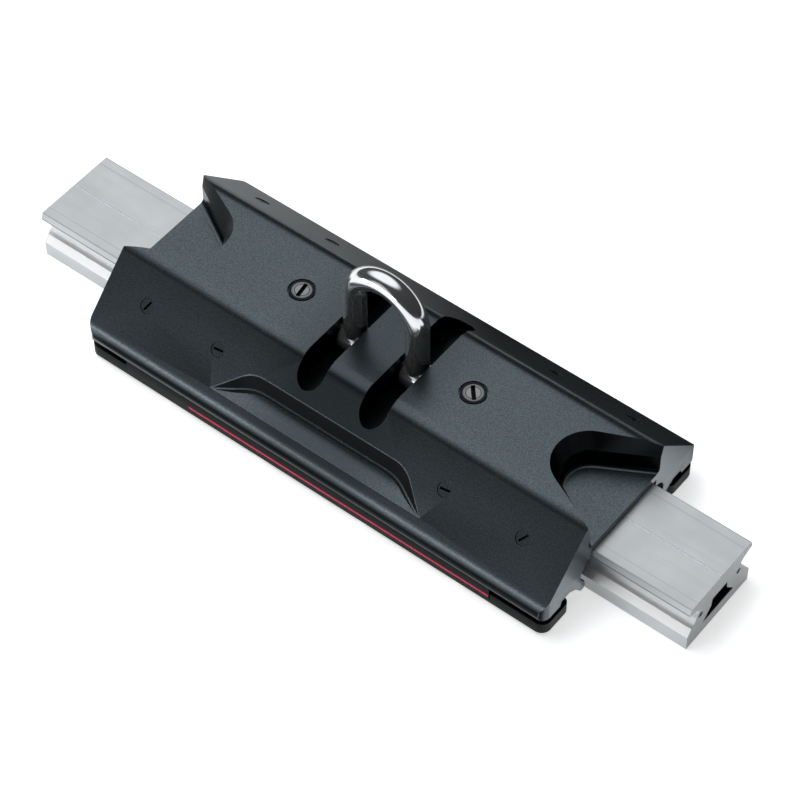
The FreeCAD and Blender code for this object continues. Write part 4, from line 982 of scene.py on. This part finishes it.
def softbox(name, place, wide, deep, power, mirrored):
    """Area lamp turned towards the car, seen in shiny surfaces or not."""
    lamp = bpy.data.lights.new(name, "AREA")
    lamp.shape = "RECTANGLE"
    lamp.size = wide
    lamp.size_y = deep
    lamp.energy = power
    obj = bpy.data.objects.new(name, lamp)
    obj.visible_glossy = mirrored
    bpy.context.scene.collection.objects.link(obj)
    obj.location = place
    obj.rotation_mode = "QUATERNION"
    obj.rotation_quaternion = (Vector(LIGHT_AIM) - Vector(place)).to_track_quat("-Z", "Y")


def dark_reflection_mask(tree):
    """Where the floor shows dark in reflections only, a painted dark reflection: a wide one behind the
    car and a strip in front.
    """
    axes = object_axes(tree)
    along, across = axes["X"], axes["Y"]
    behind = all_of(
        tree, mapped(tree, across, start=0.045, end=0.075), mapped(tree, across, start=0.45, end=0.25),
        mapped(tree, along, start=-0.42, end=0.0))
    in_front = all_of(
        tree, mapped(tree, across, start=-0.055, end=-0.060),
        mapped(tree, across, start=-0.125, end=-0.085),
        mapped(tree, math_node(tree, "ABSOLUTE", along), start=0.15, end=0.13))
    return math_node(tree, "MAXIMUM", behind, in_front)


def floor_material():
    """Pale floor that the camera sees as white paper, and shiny surfaces as paper with painted dark
    reflections.
    """
    material, shader = new_material("studio_floor", Roughness=0.9, Specular_IOR_Level=0.1)
    tree = material.node_tree
    rays = tree.nodes.new("ShaderNodeLightPath").outputs
    # Dark patches that only glossy rays see: painted dark reflections on the shiny parts.
    dark_reflection = all_of(tree, dark_reflection_mask(tree), rays["Is Glossy Ray"])
    tone = painted(tree, colours().floor, dark_reflection, (0.03, 0.032, 0.034))
    tree.links.new(tone, shader.inputs["Base Color"])
    shader.inputs["Emission Color"].default_value = (1.0, 1.0, 1.0, 1.0)
    paper = math_node(tree, "SUBTRACT", rays["Is Glossy Ray"], dark_reflection)
    seen = math_node(tree, "MULTIPLY", rays["Is Camera Ray"], 0.62)
    tree.links.new(math_node(tree, "MULTIPLY_ADD", paper, 0.7, seen), shader.inputs["Emission Strength"])
    return material


def lay_floor():
    """Wide square floor under the deck face."""
    corners = [(-1, -1), (1, -1), (1, 1), (-1, 1)]
    mesh = bpy.data.meshes.new("floor")
    mesh.from_pydata([(x * FLOOR_REACH, y * FLOOR_REACH, 0) for x, y in corners], [], [(0, 1, 2, 3)])
    coat(mesh, floor_material())
    link_mesh("floor", mesh)


def place_camera():
    """Camera that sees the car as the photograph does."""
    camera = bpy.data.cameras.new("camera")
    camera.sensor_width = SENSOR_WIDTH
    camera.lens = SENSOR_WIDTH * PHOTO_FOCAL_LENGTH / PHOTO_WIDTH
    camera.clip_start = 0.05
    camera.clip_end = 50.0
    obj = bpy.data.objects.new("camera", camera)
    obj.location = CAMERA_PLACE
    obj.rotation_mode = "QUATERNION"
    obj.rotation_quaternion = Quaternion(CAMERA_TURN)
    bpy.context.scene.collection.objects.link(obj)
    bpy.context.scene.camera = obj


class TRAVELLER_OT_stage(bpy.types.Operator):
    """Set the floor, the soft lights and the camera"""
    bl_idname = "traveller.stage"
    bl_label = "Stage"

    def execute(self, context):
        context.scene.view_settings.view_transform = "Standard"
        lay_floor()
        studio_world()
        softbox("overhead", (-0.35, -0.15, 1.3), wide=0.7, deep=0.5, power=5.5, mirrored=False)
        softbox("front_fill", (-0.8, -1.6, 0.10), wide=1.8, deep=0.25, power=6.0, mirrored=True)
        place_camera()
        return {"FINISHED"}


class TRAVELLER_PT_panel(bpy.types.Panel):
    """Sidebar panel with the pieces, their sizes and colours"""
    bl_idname = "TRAVELLER_PT_panel"
    bl_label = "Traveller Car"
    bl_space_type = "VIEW_3D"
    bl_region_type = "UI"
    bl_category = "Traveller"

    def draw(self, context):
        layout = self.layout
        for group in (context.scene.traveller_sizes, context.scene.traveller_colours):
            box = layout.box()
            for name in group.__annotations__:
                box.prop(group, name)
        for operator in OPERATORS:
            layout.operator(operator.bl_idname)


OPERATORS = (
    TRAVELLER_OT_track,
    TRAVELLER_OT_block,
    TRAVELLER_OT_bow,
    TRAVELLER_OT_shackle_gear,
    TRAVELLER_OT_slope_screws,
    TRAVELLER_OT_races,
    TRAVELLER_OT_covers,
    TRAVELLER_OT_trim,
    TRAVELLER_OT_stage,
)
CLASSES = (TravellerSizes, TravellerColours, *OPERATORS, TRAVELLER_PT_panel)


def register():
    """Register the classes, and give every scene its sizes and colours."""
    for item in CLASSES:
        bpy.utils.register_class(item)
    bpy.types.Scene.traveller_sizes = bpy.props.PointerProperty(type=TravellerSizes)
    bpy.types.Scene.traveller_colours = bpy.props.PointerProperty(type=TravellerColours)


def unregister():
    """Take back what register did."""
    del bpy.types.Scene.traveller_colours
    del bpy.types.Scene.traveller_sizes
    for item in reversed(CLASSES):
        bpy.utils.unregister_class(item)


def main():
    """Make every piece and the stage."""
    register()
    bpy.ops.traveller.track()
    bpy.ops.traveller.block()
    bpy.ops.traveller.bow()
    bpy.ops.traveller.shackle_gear()
    bpy.ops.traveller.slope_screws()
    bpy.ops.traveller.races()
    bpy.ops.traveller.covers()
    bpy.ops.traveller.trim()
    bpy.ops.traveller.stage()


if __name__ == "__main__":
    main()
